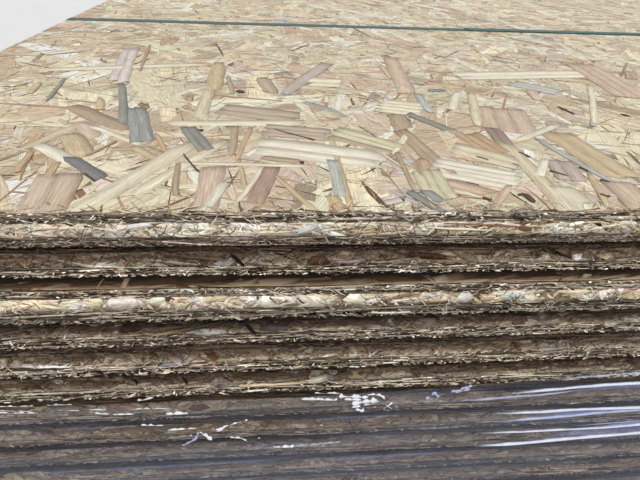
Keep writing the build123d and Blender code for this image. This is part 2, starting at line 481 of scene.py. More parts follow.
def meshPiece(name, points, faces, finish, maps, values, tones=None):
    flat = lambda array, kind: np.ascontiguousarray(array, kind).ravel()
    mesh = bpy.data.meshes.new(name)
    mesh.vertices.add(len(points))
    mesh.vertices.foreach_set("co", flat(points, np.float32))
    mesh.loops.add(faces.size)
    mesh.loops.foreach_set("vertex_index", flat(faces, np.int32))
    mesh.polygons.add(len(faces))
    mesh.polygons.foreach_set("loop_start", np.arange(0, faces.size, 4, dtype=np.int32))
    mesh.update(calc_edges=True)
    for key, value in maps.items():
        # a map holds a place for every point, or for every corner of every face
        places = value if len(value) == faces.size else value[faces.ravel()]
        mesh.uv_layers.new(name=key).data.foreach_set("uv", flat(places, np.float32))
    for key, value in values.items():
        mesh.attributes.new(key, "FLOAT", "POINT").data.foreach_set("value", flat(value, np.float32))
    if tones is not None:
        mesh.attributes.new("tone", "FLOAT_COLOR", "POINT").data.foreach_set("color", flat(tones, np.float32))
    mesh.materials.append(finish)
    piece = bpy.data.objects.new(name, mesh)
    bpy.context.scene.collection.objects.link(piece)
    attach(piece, "root")
    return piece


def tonesFrom(rng, palette, n, spread=0.09):
    # n colours picked from a weighted palette, each a little lighter or darker, with a seed in alpha
    colours = np.array([linear(*entry[:3]) for entry in palette])
    weights = np.array([entry[3] for entry in palette], float)
    picked = colours[rng.choice(len(colours), n, p=weights / weights.sum())]
    picked = picked * np.exp(rng.normal(0, spread, (n, 1))) * np.exp(rng.normal(0, 0.025, (n, 3)))
    return np.concatenate([np.clip(picked, 0.004, 0.9), rng.random((n, 1))], 1)


def drawn(rng, n, way, first, second, least=-math.inf, most=math.inf):
    # n numbers: even from first to second, round about first with a spread, or sizes that are mostly near first
    if way == "even":
        values = rng.uniform(first, second, n)
    elif way == "round":
        values = rng.normal(first, second, n)
    else:
        values = rng.lognormal(math.log(first), second, n)
    return np.clip(values, least, most)


def stripsOf(kind, rng, n, length=None, wideBy=mm, liftBy=mm):
    # what differs between n strips of one kind; its lengths are in mm, and a lone number is a spread about 0
    either = lambda *way: (drawn(rng, n, *way), drawn(rng, n, *way))
    shape = dict(
        length=drawn(rng, n, *kind["long"]) * mm if length is None else length,
        width=drawn(rng, n, *kind["wide"]) * wideBy,
        lift=drawn(rng, n, *kind["lift"]) * liftBy if "lift" in kind else liftBy,
        tone=tonesFrom(rng, kind["palette"], n, kind.get("toneSpread", 0.09)))
    for key in ("bow", "crown", "tiltAlong", "tiltAcross"):
        if key in kind:
            middle, spread = kind[key] if isinstance(kind[key], tuple) else (0, kind[key])
            shape[key] = rng.normal(middle, spread, n) * mm
    shape["tips"] = either(*kind["tips"]) if kind["tips"][0] == "even" else kind["tips"]
    if "skews" in kind:
        shape["skews"] = either("round", 0, kind["skews"])
    if "taper" in kind:
        shape["taper"] = drawn(rng, n, *kind["taper"])
    if "wedge" in kind:
        shape["wedge"] = rng.normal(0, kind["wedge"], n)
    for key in ("ragged", "skirt"):
        if key in kind:
            shape[key] = kind[key] * mm
    return dict(shape, stations=kind["stations"])


boardCount = 28
bareBoards = 6  # those above the film
carvedBoards = 12  # those whose front edge is torn strip by strip
up = np.array([0.0, 0.0, 1.0])


def boardPlace(name):
    # a board's front left corner, its own directions, and its faces' heights, from its solid
    points = np.array([v.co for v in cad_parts[name].data.vertices])
    pick = lambda a, b: points[np.argmin(points[:, 0] * a + points[:, 1] * b), :2]
    corners = [np.append(pick(a, b), 0.0) for a, b in ((1, 1), (-1, 1), (1, -1))]
    wide = np.linalg.norm(corners[1] - corners[0])
    deep = np.linalg.norm(corners[2] - corners[0])
    right = (corners[1] - corners[0]) / wide
    back = np.array([-right[1], right[0], 0.0])
    low, high = float(points[:, 2].min()), float(points[:, 2].max())
    return dict(corner=corners[0], right=right, back=back, wide=wide, deep=deep, low=low, high=high)


boards = {k: boardPlace("panel_%02d" % k) for k in range(1, boardCount + 1)}

# written colours and their share of the strands
facePalette = [
    (233, 224, 202, 26), (227, 216, 190, 22), (219, 206, 182, 16), (208, 189, 165, 12), (217, 198, 182, 12),
    (195, 174, 152, 6.0), (172, 153, 134, 2.6), (164, 164, 160, 1.4), (200, 202, 198, 1.8), (241, 237, 224, 13)]
sliverPalette = [
    (236, 228, 208, 30), (220, 204, 174, 22), (204, 178, 142, 13), (172, 146, 118, 10), (240, 236, 224, 14),
    (140, 118, 96, 7), (104, 86, 68, 3)]
shadowGapPalette = [(74, 58, 42, 3), (48, 38, 30, 2), (112, 90, 66, 3)]
bitePalette = [(84, 68, 54, 3), (122, 104, 84, 3), (60, 48, 38, 2), (150, 130, 108, 3)]
# zones: from and to in mm behind the front arris, long strands, short ones, slivers, how finely cut, how light
# finest, coarse: how wide the splinters of a strand are; straight: the share that lies about straight back;
# pointed: the share of tips that narrow; shadowGaps: the share with a painted shadow strip beside, close up and
# further back
topFace = dict(
    seed=21, tiles=8, frayed=0.9, finest=6.5, coarse=10.0, fibres=5200, bites=76, curls=260, seenFrom=80,
    seenTo=470, straight=0.58, pointed=0.45, shadowGaps=(0.42, 0.20),
    zones=[(0, 700, 2500, 2500, 6600, 6, 1.0), (700, 1240, 1600, 1400, 1700, 4, 1.0),
           (1240, 2441, 2000, 1500, 1200, 3, 0.88)])
# kinds of strip, with lengths in mm that are drawn in one of three ways: even (from, to), round (middle, spread) or
# size (typical, spread), where need be with the least and the most
longStrand = dict(long=("size", 84, 0.34, 10, 150), wide=("size", 12.5, 0.5, 1.8, 34), ragged=0.30)
shortStrand = dict(long=("size", 32, 0.34, 10, 150), wide=("size", 5.0, 0.5, 1.8, 34), ragged=0.20)
faceShadowGap = dict(palette=shadowGapPalette, wide=("size", 0.55, 0.4), bow=0.3, tips=(0.2, 0.2), stations=3)
faceSliver = dict(
    palette=sliverPalette, long=("size", 19, 0.6, 4, 95), wide=("size", 1.05, 0.5, 0.35, 3.6),
    lift=("even", 0.34, 0.52), bow=0.8, tips=("even", 0.05, 0.9), skews=0.8, ragged=0.10, wedge=0.3, stations=4)
faceFibre = dict(
    palette=sliverPalette, toneSpread=0.14, long=("size", 8, 0.5), wide=("even", 0.3, 0.9),
    lift=("even", 0.40, 0.56), bow=0.6, tips=(0.3, 0.2), stations=3)
arrisBite = dict(
    palette=bitePalette, long=("size", 6.5, 0.55), wide=("even", 0.4, 1.7), lift=("even", 0.64, 0.74), bow=0.5,
    tips=(0.2, 0.2), ragged=0.35, stations=6)
arrisCurl = dict(
    palette=sliverPalette, toneSpread=0.14, long=("size", 6, 0.5), wide=("even", 0.35, 0.95),
    lift=("even", 0.95, 1.2), bow=1.1, tips=(0.4, 0.3), stations=5)


def chosen(value, shape, which):
    # the part of a strip's measures that belongs to some of the strips
    if isinstance(value, tuple):
        return tuple(np.broadcast_to(one, shape)[which] for one in value)
    return value[which] if isinstance(value, np.ndarray) else value


def topPieces(look):
    rng = np.random.default_rng(look["seed"])
    board = boards[1]
    heaps = [Heap("face_strands_%d" % (i + 1)) for i in range(look["tiles"])]
    corner = board["corner"] + up * board["high"]
    reachX = float(corner @ board["right"])
    reachY = float(corner @ board["back"])

    def spread(n, start, stop):
        # even but unruled places over one zone of the board
        cols = max(1, int(round(math.sqrt(n * board["wide"] / (stop - start)))))
        rows = max(1, n // cols)
        gx, gy = np.meshgrid(np.arange(cols), np.arange(rows))
        x = (gx.ravel() + rng.random(cols * rows) * 1.5 - 0.25) / cols * board["wide"]
        y = start + (gy.ravel() + rng.random(cols * rows) * 1.5 - 0.25) / rows * (stop - start)
        return np.clip(x, 3 * mm, board["wide"] - 3 * mm), np.clip(y, 3 * mm, board["deep"] - 3 * mm)

    def alongFront(n, share):
        # places along the front arris: a share of them anywhere, the others where it is seen close up
        anywhere = rng.uniform(0, board["wide"], n // share)
        return np.concatenate([anywhere, rng.uniform(look["seenFrom"] * mm, look["seenTo"] * mm, n - n // share)])

    def put(x, y, angle, frayed=look["frayed"], **shape):
        # angle from straight back, to the right; every strip is broken off a little short of the front arris
        mid = corner + x[:, None] * board["right"] + y[:, None] * board["back"]
        along = np.sin(angle)[:, None] * board["right"] + np.cos(angle)[:, None] * board["back"]
        tile = np.clip((x / board["wide"] * look["tiles"]).astype(int), 0, look["tiles"] - 1)
        for i, heap in enumerate(heaps):
            mine = tile == i
            part = {key: chosen(value, mine.shape, mine) for key, value in shape.items()}
            short = rng.beta(0.7, 3.2, int(mine.sum())) * frayed * mm
            within = [(board["right"], reachX, reachX + board["wide"]),
                      (board["back"], reachY + short, reachY + board["deep"])]
            heap.lay(mid[mine], along[mine], up, within=within, **part)

    def bundle(x, y, angle, length, width, tone, lift, finest, apart, **shape):
        # a strand is a bundle of splinters, side by side and unevenly long; apart: how far they differ and part
        n = len(x)
        parts = np.clip(np.round(width / (finest * mm * rng.uniform(0.6, 1.7, n))), 1, 4).astype(int)
        which = np.repeat(np.arange(n), parts)
        m = len(which)
        # each splinter's place across its strand, from -0.5 to 0.5
        share = (np.arange(m) - np.repeat(np.cumsum(parts) - parts, parts) + 0.5) / parts[which] - 0.5
        several = parts[which] > 1
        own = length[which] * np.where(several, 1 - apart * rng.uniform(-0.03, 0.22, m), 1.0)
        off = share * width[which]
        slide = (length[which] - own) * rng.uniform(-0.5, 0.5, m)
        a = angle[which]
        tones = tone[which].copy()
        tones[:, :3] *= np.exp(rng.normal(0, 0.06 * apart, (m, 1)))
        tones[:, 3] = rng.random(m)
        shape["tips"] = tuple(1 - (1 - tip) * np.where(parts > 1, apart, 1.0) for tip in shape["tips"])
        put(x[which] - off * np.cos(a) + slide * np.sin(a), y[which] + off * np.sin(a) + slide * np.cos(a),
            a + rng.normal(0, 0.008 * apart, m) * several, length=own, tone=tones,
            width=width[which] / parts[which] * np.where(several, 1.3 - 0.18 * apart, 1.0),
            lift=lift[which] + share * 0.05 * mm, **{key: chosen(value, n, which) for key, value in shape.items()})

    for start, stop, strands, small, slivers, fine, light in look["zones"]:
        close = fine > 4
        shadowGapShare = look["shadowGaps"][0 if close else 1]
        dim = (light, light, light, 1)
        for kind, count, stations in ((longStrand, strands, fine), (shortStrand, small, max(3, fine - 1))):
            x, y = spread(count, start * mm, stop * mm)
            n = len(x)
            length = drawn(rng, n, *kind["long"]) * mm
            width = drawn(rng, n, *kind["wide"]) * mm
            straight = rng.random(n) < look["straight"]
            angle = np.where(straight, rng.normal(0.05, 0.45, n), rng.uniform(-quarter, quarter, n))
            lift = rng.uniform(0.10, 0.34, n) * mm
            # how much of its width a strand keeps at a tip
            tip = lambda: np.where(
                rng.random(n) < look["pointed"], rng.uniform(0.05, 0.5, n), rng.uniform(0.75, 1.05, n))
            tips = (tip(), tip())
            bundle(x, y, angle, length, width, tonesFrom(rng, facePalette, n) * dim, lift,
                   look["finest" if close else "coarse"], 0.7, bow=rng.normal(0, 1.0, n) * mm,
                   tiltAlong=rng.normal(0, 0.10, n) * mm, tips=tips,
                   skews=(rng.normal(0, 1.1, n), rng.normal(0, 1.1, n)), ragged=kind["ragged"] * mm,
                   taper=rng.uniform(0.10, 0.34, n), wedge=rng.normal(0, 0.16, n), stations=stations)
            # painted shadow: thin dark strips beside some of them, as cast by their raised edges
            mine = rng.random(n) < shadowGapShare
            side = np.where(rng.random(n) < 0.5, -1.0, 1.0)[mine]
            a = angle[mine]
            off = width[mine] / 2 + 0.20 * mm
            slip = rng.uniform(-0.4, 0.4, mine.sum()) * length[mine]
            gx = x[mine] - side * off * np.cos(a) + slip * np.sin(a)
            gy = y[mine] + side * off * np.sin(a) + slip * np.cos(a)
            m = len(gx)
            a = a + rng.normal(0, 0.04, m)
            length = length[mine] * rng.uniform(0.08, 0.42, m)
            put(gx, gy, a, **stripsOf(faceShadowGap, rng, m, length, liftBy=lift[mine] + 0.10 * mm))
        x, y = spread(slivers, start * mm, stop * mm)
        n = len(x)
        angle = rng.uniform(-quarter, quarter, n)
        shape = stripsOf(dict(faceSliver, stations=4 if close else 3), rng, n)
        shape["tone"] = shape["tone"] * dim
        put(x, y, angle, **shape)

    # short torn fibres, thickest near the front
    n = look["fibres"]
    x = rng.uniform(0, board["wide"], n)
    y = rng.beta(0.9, 1.6, n) * 620 * mm
    put(x, y, rng.uniform(-quarter, quarter, n), **stripsOf(faceFibre, rng, n))

    # the strands that catch the eye near the front left
    notable = np.array([row[:5] for row in notableStrands], float) * mm
    tones = np.array([[*linear(*woodTones[row[5]]), 0.0] for row in notableStrands])
    tips = tuple(np.array([row[i] for row in notableStrands]) for i in (6, 7))
    x0, y0, x1, y1, width = notable.T
    n = len(notable)
    bundle((x0 + x1) / 2, (y0 + y1) / 2, np.arctan2(x1 - x0, y1 - y0), np.hypot(x1 - x0, y1 - y0), width, tones,
           (0.56 + np.arange(n) * 0.004) * mm, 8.0, 0.35, bow=rng.normal(0, 0.4, n) * mm, tips=tips,
           skews=(rng.normal(0, 0.45, n), rng.normal(0, 0.45, n)),
           ragged=np.clip(width * 0.03, 0.08 * mm, 0.45 * mm), taper=0.30, stations=8, skirt=0.3 * mm)

    # the front arris is broken: dark torn hollows along it, and curls of pale wood over them
    n = look["bites"]
    x = alongFront(n, 2)
    y = rng.uniform(0.0, 0.9, n) * mm
    put(x, y, rng.normal(quarter, 0.14, n), frayed=0.0, **stripsOf(arrisBite, rng, n))
    n = look["curls"]
    x = alongFront(n, 3)
    y = rng.beta(1, 2.2, n) * 9 * mm
    put(x, y, rng.uniform(-quarter, quarter, n), frayed=0.6, **stripsOf(arrisCurl, rng, n))
    for heap in heaps:
        heap.make(faceWood)


woodTones = dict(
    cream=(236, 228, 206), white=(238, 232, 214), straw=(225, 214, 188), tan=(210, 192, 161), brown=(189, 170, 147),
    rose=(215, 194, 175), roseDark=(186, 160, 145), taupe=(196, 180, 163), mauve=(200, 187, 178),
    grey=(164, 166, 164), greyGreen=(154, 154, 146), greyDark=(138, 136, 138), greyLight=(196, 198, 192),
    blueGrey=(192, 195, 192), lavender=(218, 209, 203), amber=(213, 194, 160), orange=(208, 182, 153),
    rust=(200, 174, 142), dark=(92, 78, 63), hole=(42, 33, 26), olive=(218, 212, 182), purple=(164, 146, 136))
# x, y of one end, x, y of the other and the width, in mm from the front left corner; colour; how wide each end is
notableStrands = [
    (104, 150, 147, 104, 13, "brown", 0.7, 0.5), (118, 116, 133, 90, 10, "rose", 0.8, 0.6),
    (118, 97, 134, 61, 12, "tan", 0.7, 0.3), (126, 110, 158, 80, 5, "cream", 1, 0.7),
    (163, 99, 172, 71, 3, "orange", 0.4, 0.4), (155, 77, 172, 57, 6, "tan", 0.6, 0.6),
    (186, 86, 147, 0, 10.5, "cream", 0.6, 1), (202, 88, 167, 17, 7, "cream", 0.8, 0.7),
    (130, 40, 133, -4, 18, "rose", 0.8, 1), (124, 54, 125, 36, 4, "orange", 1, 0.8),
    (108, 69, 110, 42, 3, "orange", 0.5, 0.8), (107, 78, 132, 53, 9, "white", 0.8, 0.6),
    (143, 150, 159, 82.5, 11, "grey", 1, 1), (122, 210, 142, 116, 5.5, "greyGreen", 0.6, 1),
    (179, 112, 193.5, 72, 8.5, "greyGreen", 0.7, 1), (127, 61, 149, 35, 8, "greyDark", 0.5, 0.8),
    (198, 50, 197, -3, 12, "rose", 1, 1), (205, 33, 196, -3, 5, "white", 0.15, 0.9),
    (216, 112, 209, 58, 3, "orange", 1, 0.6), (210, 60, 214, 20, 2.5, "tan", 1, 0.4),
    (206.5, 113, 206, 64, 4.5, "brown", 1, 0.2), (181, 54, 184, 16, 3, "brown", 0.8, 0.6),
    (227, 42, 244, 0, 3, "tan", 0.4, 0.9), (222, 51, 211, 10, 3, "cream", 1, 0.5),
    (227, 50, 218, 9, 8, "roseDark", 1, 0.9), (195, 150, 246, 132, 22, "taupe", 0.5, 0.9),
    (224, 108, 262, 100, 20, "taupe", 0.6, 1), (168, 117, 247, 122, 11, "cream", 0.7, 1),
    (219, 81, 284, 61, 24, "white", 0.9, 0.8), (182, 54, 246, 51, 4, "cream", 0.6, 0.8),
    (222, 63, 242, 57, 6, "brown", 0.7, 0.3), (262, 98, 259, -2, 3, "tan", 1, 0.6),
    (258, 60, 256, 16, 6, "greyLight", 1, 1), (252, 16, 254, 2, 6, "amber", 1, 1),
    (263, 106, 297, 76, 20, "olive", 0.7, 0.4), (261, 97, 293, 71, 6, "taupe", 1, 0.3),
    (320, 126, 293, 70, 4, "cream", 0.7, 0.5), (306, 112, 315, 41, 9, "brown", 1, 0.1),
    (311, 146, 309, 112, 13, "brown", 1, 1), (307, 63, 303, 38, 8, "orange", 0.4, 0.7),
    (304, 48, 303, 12, 14, "olive", 0.5, 0.8), (309, 53, 348, 33, 24, "white", 0.8, 0.9),
    (309, 33, 328, 19, 10, "rose", 0.8, 0.8), (331, 127, 344, 99, 6, "taupe", 1, 0.7),
    (346, 106, 354, 72, 16, "rust", 0.7, 0.5), (329, 82, 357, 57, 17, "straw", 0.7, 0.9),
    (392, 165, 376, 108, 32, "rose", 0.6, 1), (364, 92, 356, -3, 9.5, "straw", 1, 1),
    (367, 118, 363, 86, 9.5, "purple", 1, 0.8), (384, 62, 377, 34, 14, "mauve", 0.6, 0.8),
    (377, 64, 362, 40, 5, "white", 0.4, 1), (388, 98, 397, 34, 4, "blueGrey", 0.6, 0.7),
    (406, 112, 407, 39, 19, "tan", 0.9, 1), (416, 126, 373, 93, 6, "cream", 1, 0.5),
    (366, 27, 366, -2, 13, "cream", 0.8, 1), (377, 2, 391, 44, 3.5, "tan", 0.8, 0.5),
    (400, 33, 394, 2, 14, "rose", 1, 0.8), (289, 21, 299, -1, 5, "greyGreen", 0.9, 0.5),
    (297, 22, 301, 10, 6, "grey", 0.8, 0.4), (285, 13, 275, 8, 5, "lavender", 0.9, 0.7),
    (341, 28, 322, 2, 4, "rose", 0.6, 0.8), (295, 72, 292, 22, 2.5, "brown", 1, 0.5),
    (104, 345, 119, 212, 13, "lavender", 1, 0.8), (60, 246, 182, 283, 12, "cream", 0.8, 0.6),
    (185, 126, 186, 200, 9, "straw", 1, 0.6), (187, 290, 189, 196, 12, "tan", 0.6, 0.8),
    (197, 242, 203, 188, 4, "brown", 0.3, 0.5), (224, 238, 231, 192, 12, "taupe", 0.5, 0.5),
    (284, 300, 240, 190, 12, "mauve", 1, 0.5), (320, 146, 338, 111, 7, "greyGreen", 0.9, 1),
    (306, 165, 334, 156, 32, "cream", 1, 1), (117, 168, 123, 143, 5, "amber", 0.4, 1),
    (66, 206, 70, 176, 5, "amber", 0.5, 0.6), (80, 216, 86, 158, 3, "greyGreen", 0.7, 0.3),
    (262, 228, 287, 226, 26, "cream", 0.9, 0.8), (393, 263, 536, 288, 26, "white", 0.8, 0.6),
    (434, 243, 461, 212, 18, "greyLight", 1, 0.4), (441, 126, 475, 181, 4, "blueGrey", 1, 0.5),
    (446, 132, 506, 243, 5, "cream", 0.6, 1), (341, 197, 337, 150, 6.5, "blueGrey", 1, 0.6),
    (376, 208, 355, 158, 6.5, "cream", 0.5, 0.8), (386, 206, 360, 122, 7, "straw", 0.7, 0.6),
    (333, 300, 331, 248, 4.5, "amber", 0.6, 0.6), (350, 335, 333, 200, 14, "rose", 1, 0.9),
    (352, 209, 366, 212, 8, "greyGreen", 0.6, 0.6), (441, 220, 433, 188, 8, "rose", 0.6, 0.8),
    (546, 335, 519, 200, 28, "rose", 0.9, 0.8), (118, 360, 128, 250, 3, "roseDark", 0.5, 0.5),
    (562, 268, 582, 304, 9, "brown", 1, 0.8), (238, 292, 247, 262, 5, "cream", 0.7, 0.5),
    (186, 105.5, 188, 103, 2.2, "dark", 0.6, 0.8), (206, 196, 209, 190, 5, "dark", 0.7, 0.7),
    (344, 18, 344.5, 9, 3, "dark", 0.9, 0.4), (340, 17, 345, 17, 1.6, "dark", 0.5, 1),
    (322, 14, 325, 11, 2, "dark", 0.5, 0.9), (392, 35, 395, 32, 2.4, "dark", 0.6, 0.8),
    (382, 18, 385, 15, 2, "dark", 0.6, 0.8), (366, 74, 369, 66, 1.6, "dark", 0.5, 0.5),
    (371, 47, 377, 40, 1.6, "dark", 0.5, 0.5), (338, 66, 343, 61, 1.4, "dark", 0.5, 0.5),
    (390, 52, 391.5, 46, 1.4, "dark", 0.5, 0.6), (230, 108, 252, 90, 1, "dark", 0.3, 0.8),
    (241, 56, 243, 55, 2.6, "dark", 0.7, 0.7), (480, 154, 481, 149, 4, "dark", 0.7, 0.8),
    (439, 170, 442, 152, 1.8, "dark", 0.5, 0.5), (135, 62, 145, 84, 1.3, "brown", 0.4, 0.8),
    (182, 66, 192, 42, 0.9, "dark", 0.5, 0.3), (140, 40, 147, 31, 0.8, "dark", 0.5, 0.5)]
topPieces(topFace)
print("top face strands laid")

bandPalette = [
    (160, 149, 136, 20), (132, 121, 109, 18), (186, 175, 161, 16), (104, 93, 82, 14), (206, 197, 183, 9),
    (148, 139, 134, 9), (74, 64, 55, 9), (230, 223, 212, 5)]
corePalette = [
    (226, 216, 195, 30), (236, 230, 216, 22), (216, 213, 210, 10), (212, 194, 168, 17), (214, 197, 166, 8),
    (216, 200, 186, 9), (182, 159, 135, 6), (152, 128, 105, 4), (239, 237, 230, 9)]
fibrePalette = [(232, 221, 198, 30), (240, 234, 222, 14), (200, 176, 142, 16), (140, 116, 94, 14), (84, 66, 51, 10)]
pitPalette = [(34, 27, 21, 3), (50, 40, 31, 2), (22, 18, 14, 2)]
crackPalette = [(60, 44, 32, 2), (40, 30, 23, 2), (92, 70, 50, 2)]
speckPalette = [(206, 195, 178, 3), (232, 224, 208, 3), (172, 160, 143, 3)]

# how light each board's edge is painted at eight depths under its top arris, shares of its thickness, as painted
# shade under the joint above and painted light on the first and third boards; how its core is torn
edgeDepths = (0.03, 0.15, 0.27, 0.33, 0.50, 0.66, 0.76, 0.95)
edgeMakes = {
    1: dict(tones=(1.56, 1.50, 1.38, 1.24, 1.24, 1.20, 0.90, 0.80),
            facets=0.9, bristles=0.7, leaves=1.5, foot=0.55),
    2: dict(tones=(0.06, 0.27, 0.27, 0.12, 0.34, 0.64, 1.75, 1.90),
            facets=1.0, bristles=0.9, leaves=0.8),
    3: dict(tones=(1.58, 1.55, 1.46, 1.38, 1.36, 1.30, 1.00, 0.94),
            facets=1.5, bristles=0.5, leaves=0.5),
    4: dict(tones=(0.06, 0.10, 0.11, 0.06, 0.15, 0.56, 1.60, 1.30),
            facets=1.0, bristles=1.0, leaves=0.9),
    5: dict(tones=(0.14, 0.32, 0.26, 0.10, 0.36, 0.86, 1.80, 1.46),
            facets=0.6, bristles=1.7, leaves=0.7),
    6: dict(tones=(0.08, 0.17, 0.16, 0.08, 0.20, 0.52, 1.50, 1.36),
            facets=0.8, bristles=1.3, leaves=0.9)}
# the covered boards and the other edges are painted the same way, darker under each joint as painted shade
coveredMake = dict(
    tones=(0.10, 0.16, 0.20, 0.14, 0.34, 0.56, 0.80, 0.76), facets=1.0, bristles=1.3, leaves=1.0, rich=0.55)
openMake = dict(tones=(0.72, 0.84, 0.90, 0.95, 0.95, 0.95, 0.90, 0.88), facets=1.0, bristles=0.6, leaves=1.0)
# close: the stretch in mm that is cut finely; sparse: the share of pieces elsewhere; stretch: how much longer they
# are there; then each kind's pieces for every mm of the stretch
frontEdge = dict(
    seed=400, close=(60, 480), sparse=0.20, stretch=2.6, layerStep=0.62, chipLong=12.0, chipSpread=0.80,
    facets=0.17, bristles=0.42, leaves=0.09, cracks=0.46, fibres=1.60, pits=1.50, specks=1.0, crumbs=0.85,
    burrs=0.45)
otherEdge = dict(
    seed=900, close=(0, 0), sparse=0.11, stretch=3.6, layerStep=1.15, chipLong=26.0, chipSpread=0.6,
    facets=0.17, bristles=0.30, leaves=0.10, cracks=0.10, fibres=0.20, pits=0.40, specks=0.20, crumbs=0.30,
    burrs=0.10)
# layers in mm: how deep the two outer ones are, how far the core keeps from both faces, where its chips may reach
edgeLayers = dict(outer=4.3, coreLow=4.5, coreHigh=4.7, reachLow=4.1, reachHigh=4.4, belowFace=4.4)
# the kinds of torn wood in an edge; long: typical length, spread and limits; lift: share of how far chips stand out
edgeKinds = dict(
    layers=dict(
        palette=bandPalette, toneSpread=0.16, wide=("even", 0.5, 1.3), lift=("round", 0.55, 0.28, 0.05, 1.2),
        bow=0.25, crown=0.10, tiltAlong=0.2, tiltAcross=(-0.03, 0.12), tips=("even", 0.05, 0.8), skews=0.8,
        ragged=0.09, taper=("even", 0.1, 0.6), stations=4, skirt=0.4),
    facets=dict(
        palette=corePalette, long=(10.0, 0.45, 3, 40), wide=("size", 4.6, 0.32, 1.8, 7.0),
        lift=("even", 0.05, 0.30), bow=0.3, tiltAlong=0.22, tiltAcross=(-0.04, 0.18), tips=("even", 0.70, 1.0),
        skews=1.3, ragged=0.07, taper=("even", 0.04, 0.20), wedge=0.35, stations=4, skirt=0.4),
    bristles=dict(
        palette=corePalette, toneSpread=0.14, long=(5.4, 0.3, 2, 9), wide=("size", 0.85, 0.4),
        lift=("even", 0.30, 0.60), bow=0.5, tiltAlong=0.25, tiltAcross=0.12, tips=("even", 0.1, 0.9), ragged=0.06,
        stations=4),
    leaves=dict(
        palette=corePalette, toneSpread=0.10, long=(19.0, 0.4, 6, 60), wide=("size", 1.4, 0.4),
        lift=("even", 0.35, 0.60), bow=0.9, tiltAlong=0.16, tips=("even", 0.1, 0.8), skews=0.8, ragged=0.10,
        stations=5, skirt=0.4),
    cracks=dict(
        palette=crackPalette, long=(4.0, 0.45), wide=("even", 0.14, 0.34), lift=("even", 0.62, 0.75), bow=0.5,
        tips=(0.2, 0.2), stations=4),
    fibres=dict(
        palette=fibrePalette, long=(2.6, 0.5), wide=("even", 0.16, 0.46), lift=("even", 0.62, 0.95), bow=0.3,
        tiltAlong=0.2, tips=(0.3, 0.3), stations=3),
    pits=dict(
        palette=pitPalette, long=(2.1, 0.6), wide=("size", 0.28, 0.35), bow=0.2, tips=(0.3, 0.3), ragged=0.05,
        stations=4),
    specks=dict(
        palette=speckPalette, long=(1.2, 0.45), wide=("even", 0.22, 0.60), tiltAlong=0.2, tiltAcross=(0.12, 0.15),
        tips=(0.4, 0.3), ragged=0.07, stations=3),
    crumbs=dict(
        palette=bandPalette, toneSpread=0.22, long=(2.0, 0.5), wide=("even", 0.30, 0.90), lift=("even", 0.7, 1.7),
        tiltAlong=0.3, tiltAcross=0.2, tips=(0.5, 0.4), ragged=0.08, stations=3, skirt=0.4))
edgeKinds["burrs"] = dict(edgeKinds["crumbs"], lift=("even", 0.4, 0.9))


def paintedShaded(rate, shadeBrown=(1.0, 0.72, 0.58)):
    # painted shade and light on wood: what is left of its colour at a given lightness; the darker, the browner
    shadeBrown = np.array(shadeBrown)
    return rate[..., None] * (shadeBrown + np.clip(rate, 0, 1)[..., None] * ((1.0, 1.03, 1.05) - shadeBrown))


def paintedShadeOn(board, make):
    # the painted shade and light of one board's edge, by the height of each point
    tall = board["high"] - board["low"]
    return lambda points: paintedShaded(np.interp((board["high"] - points[..., 2]) / tall, edgeDepths, make["tones"]))


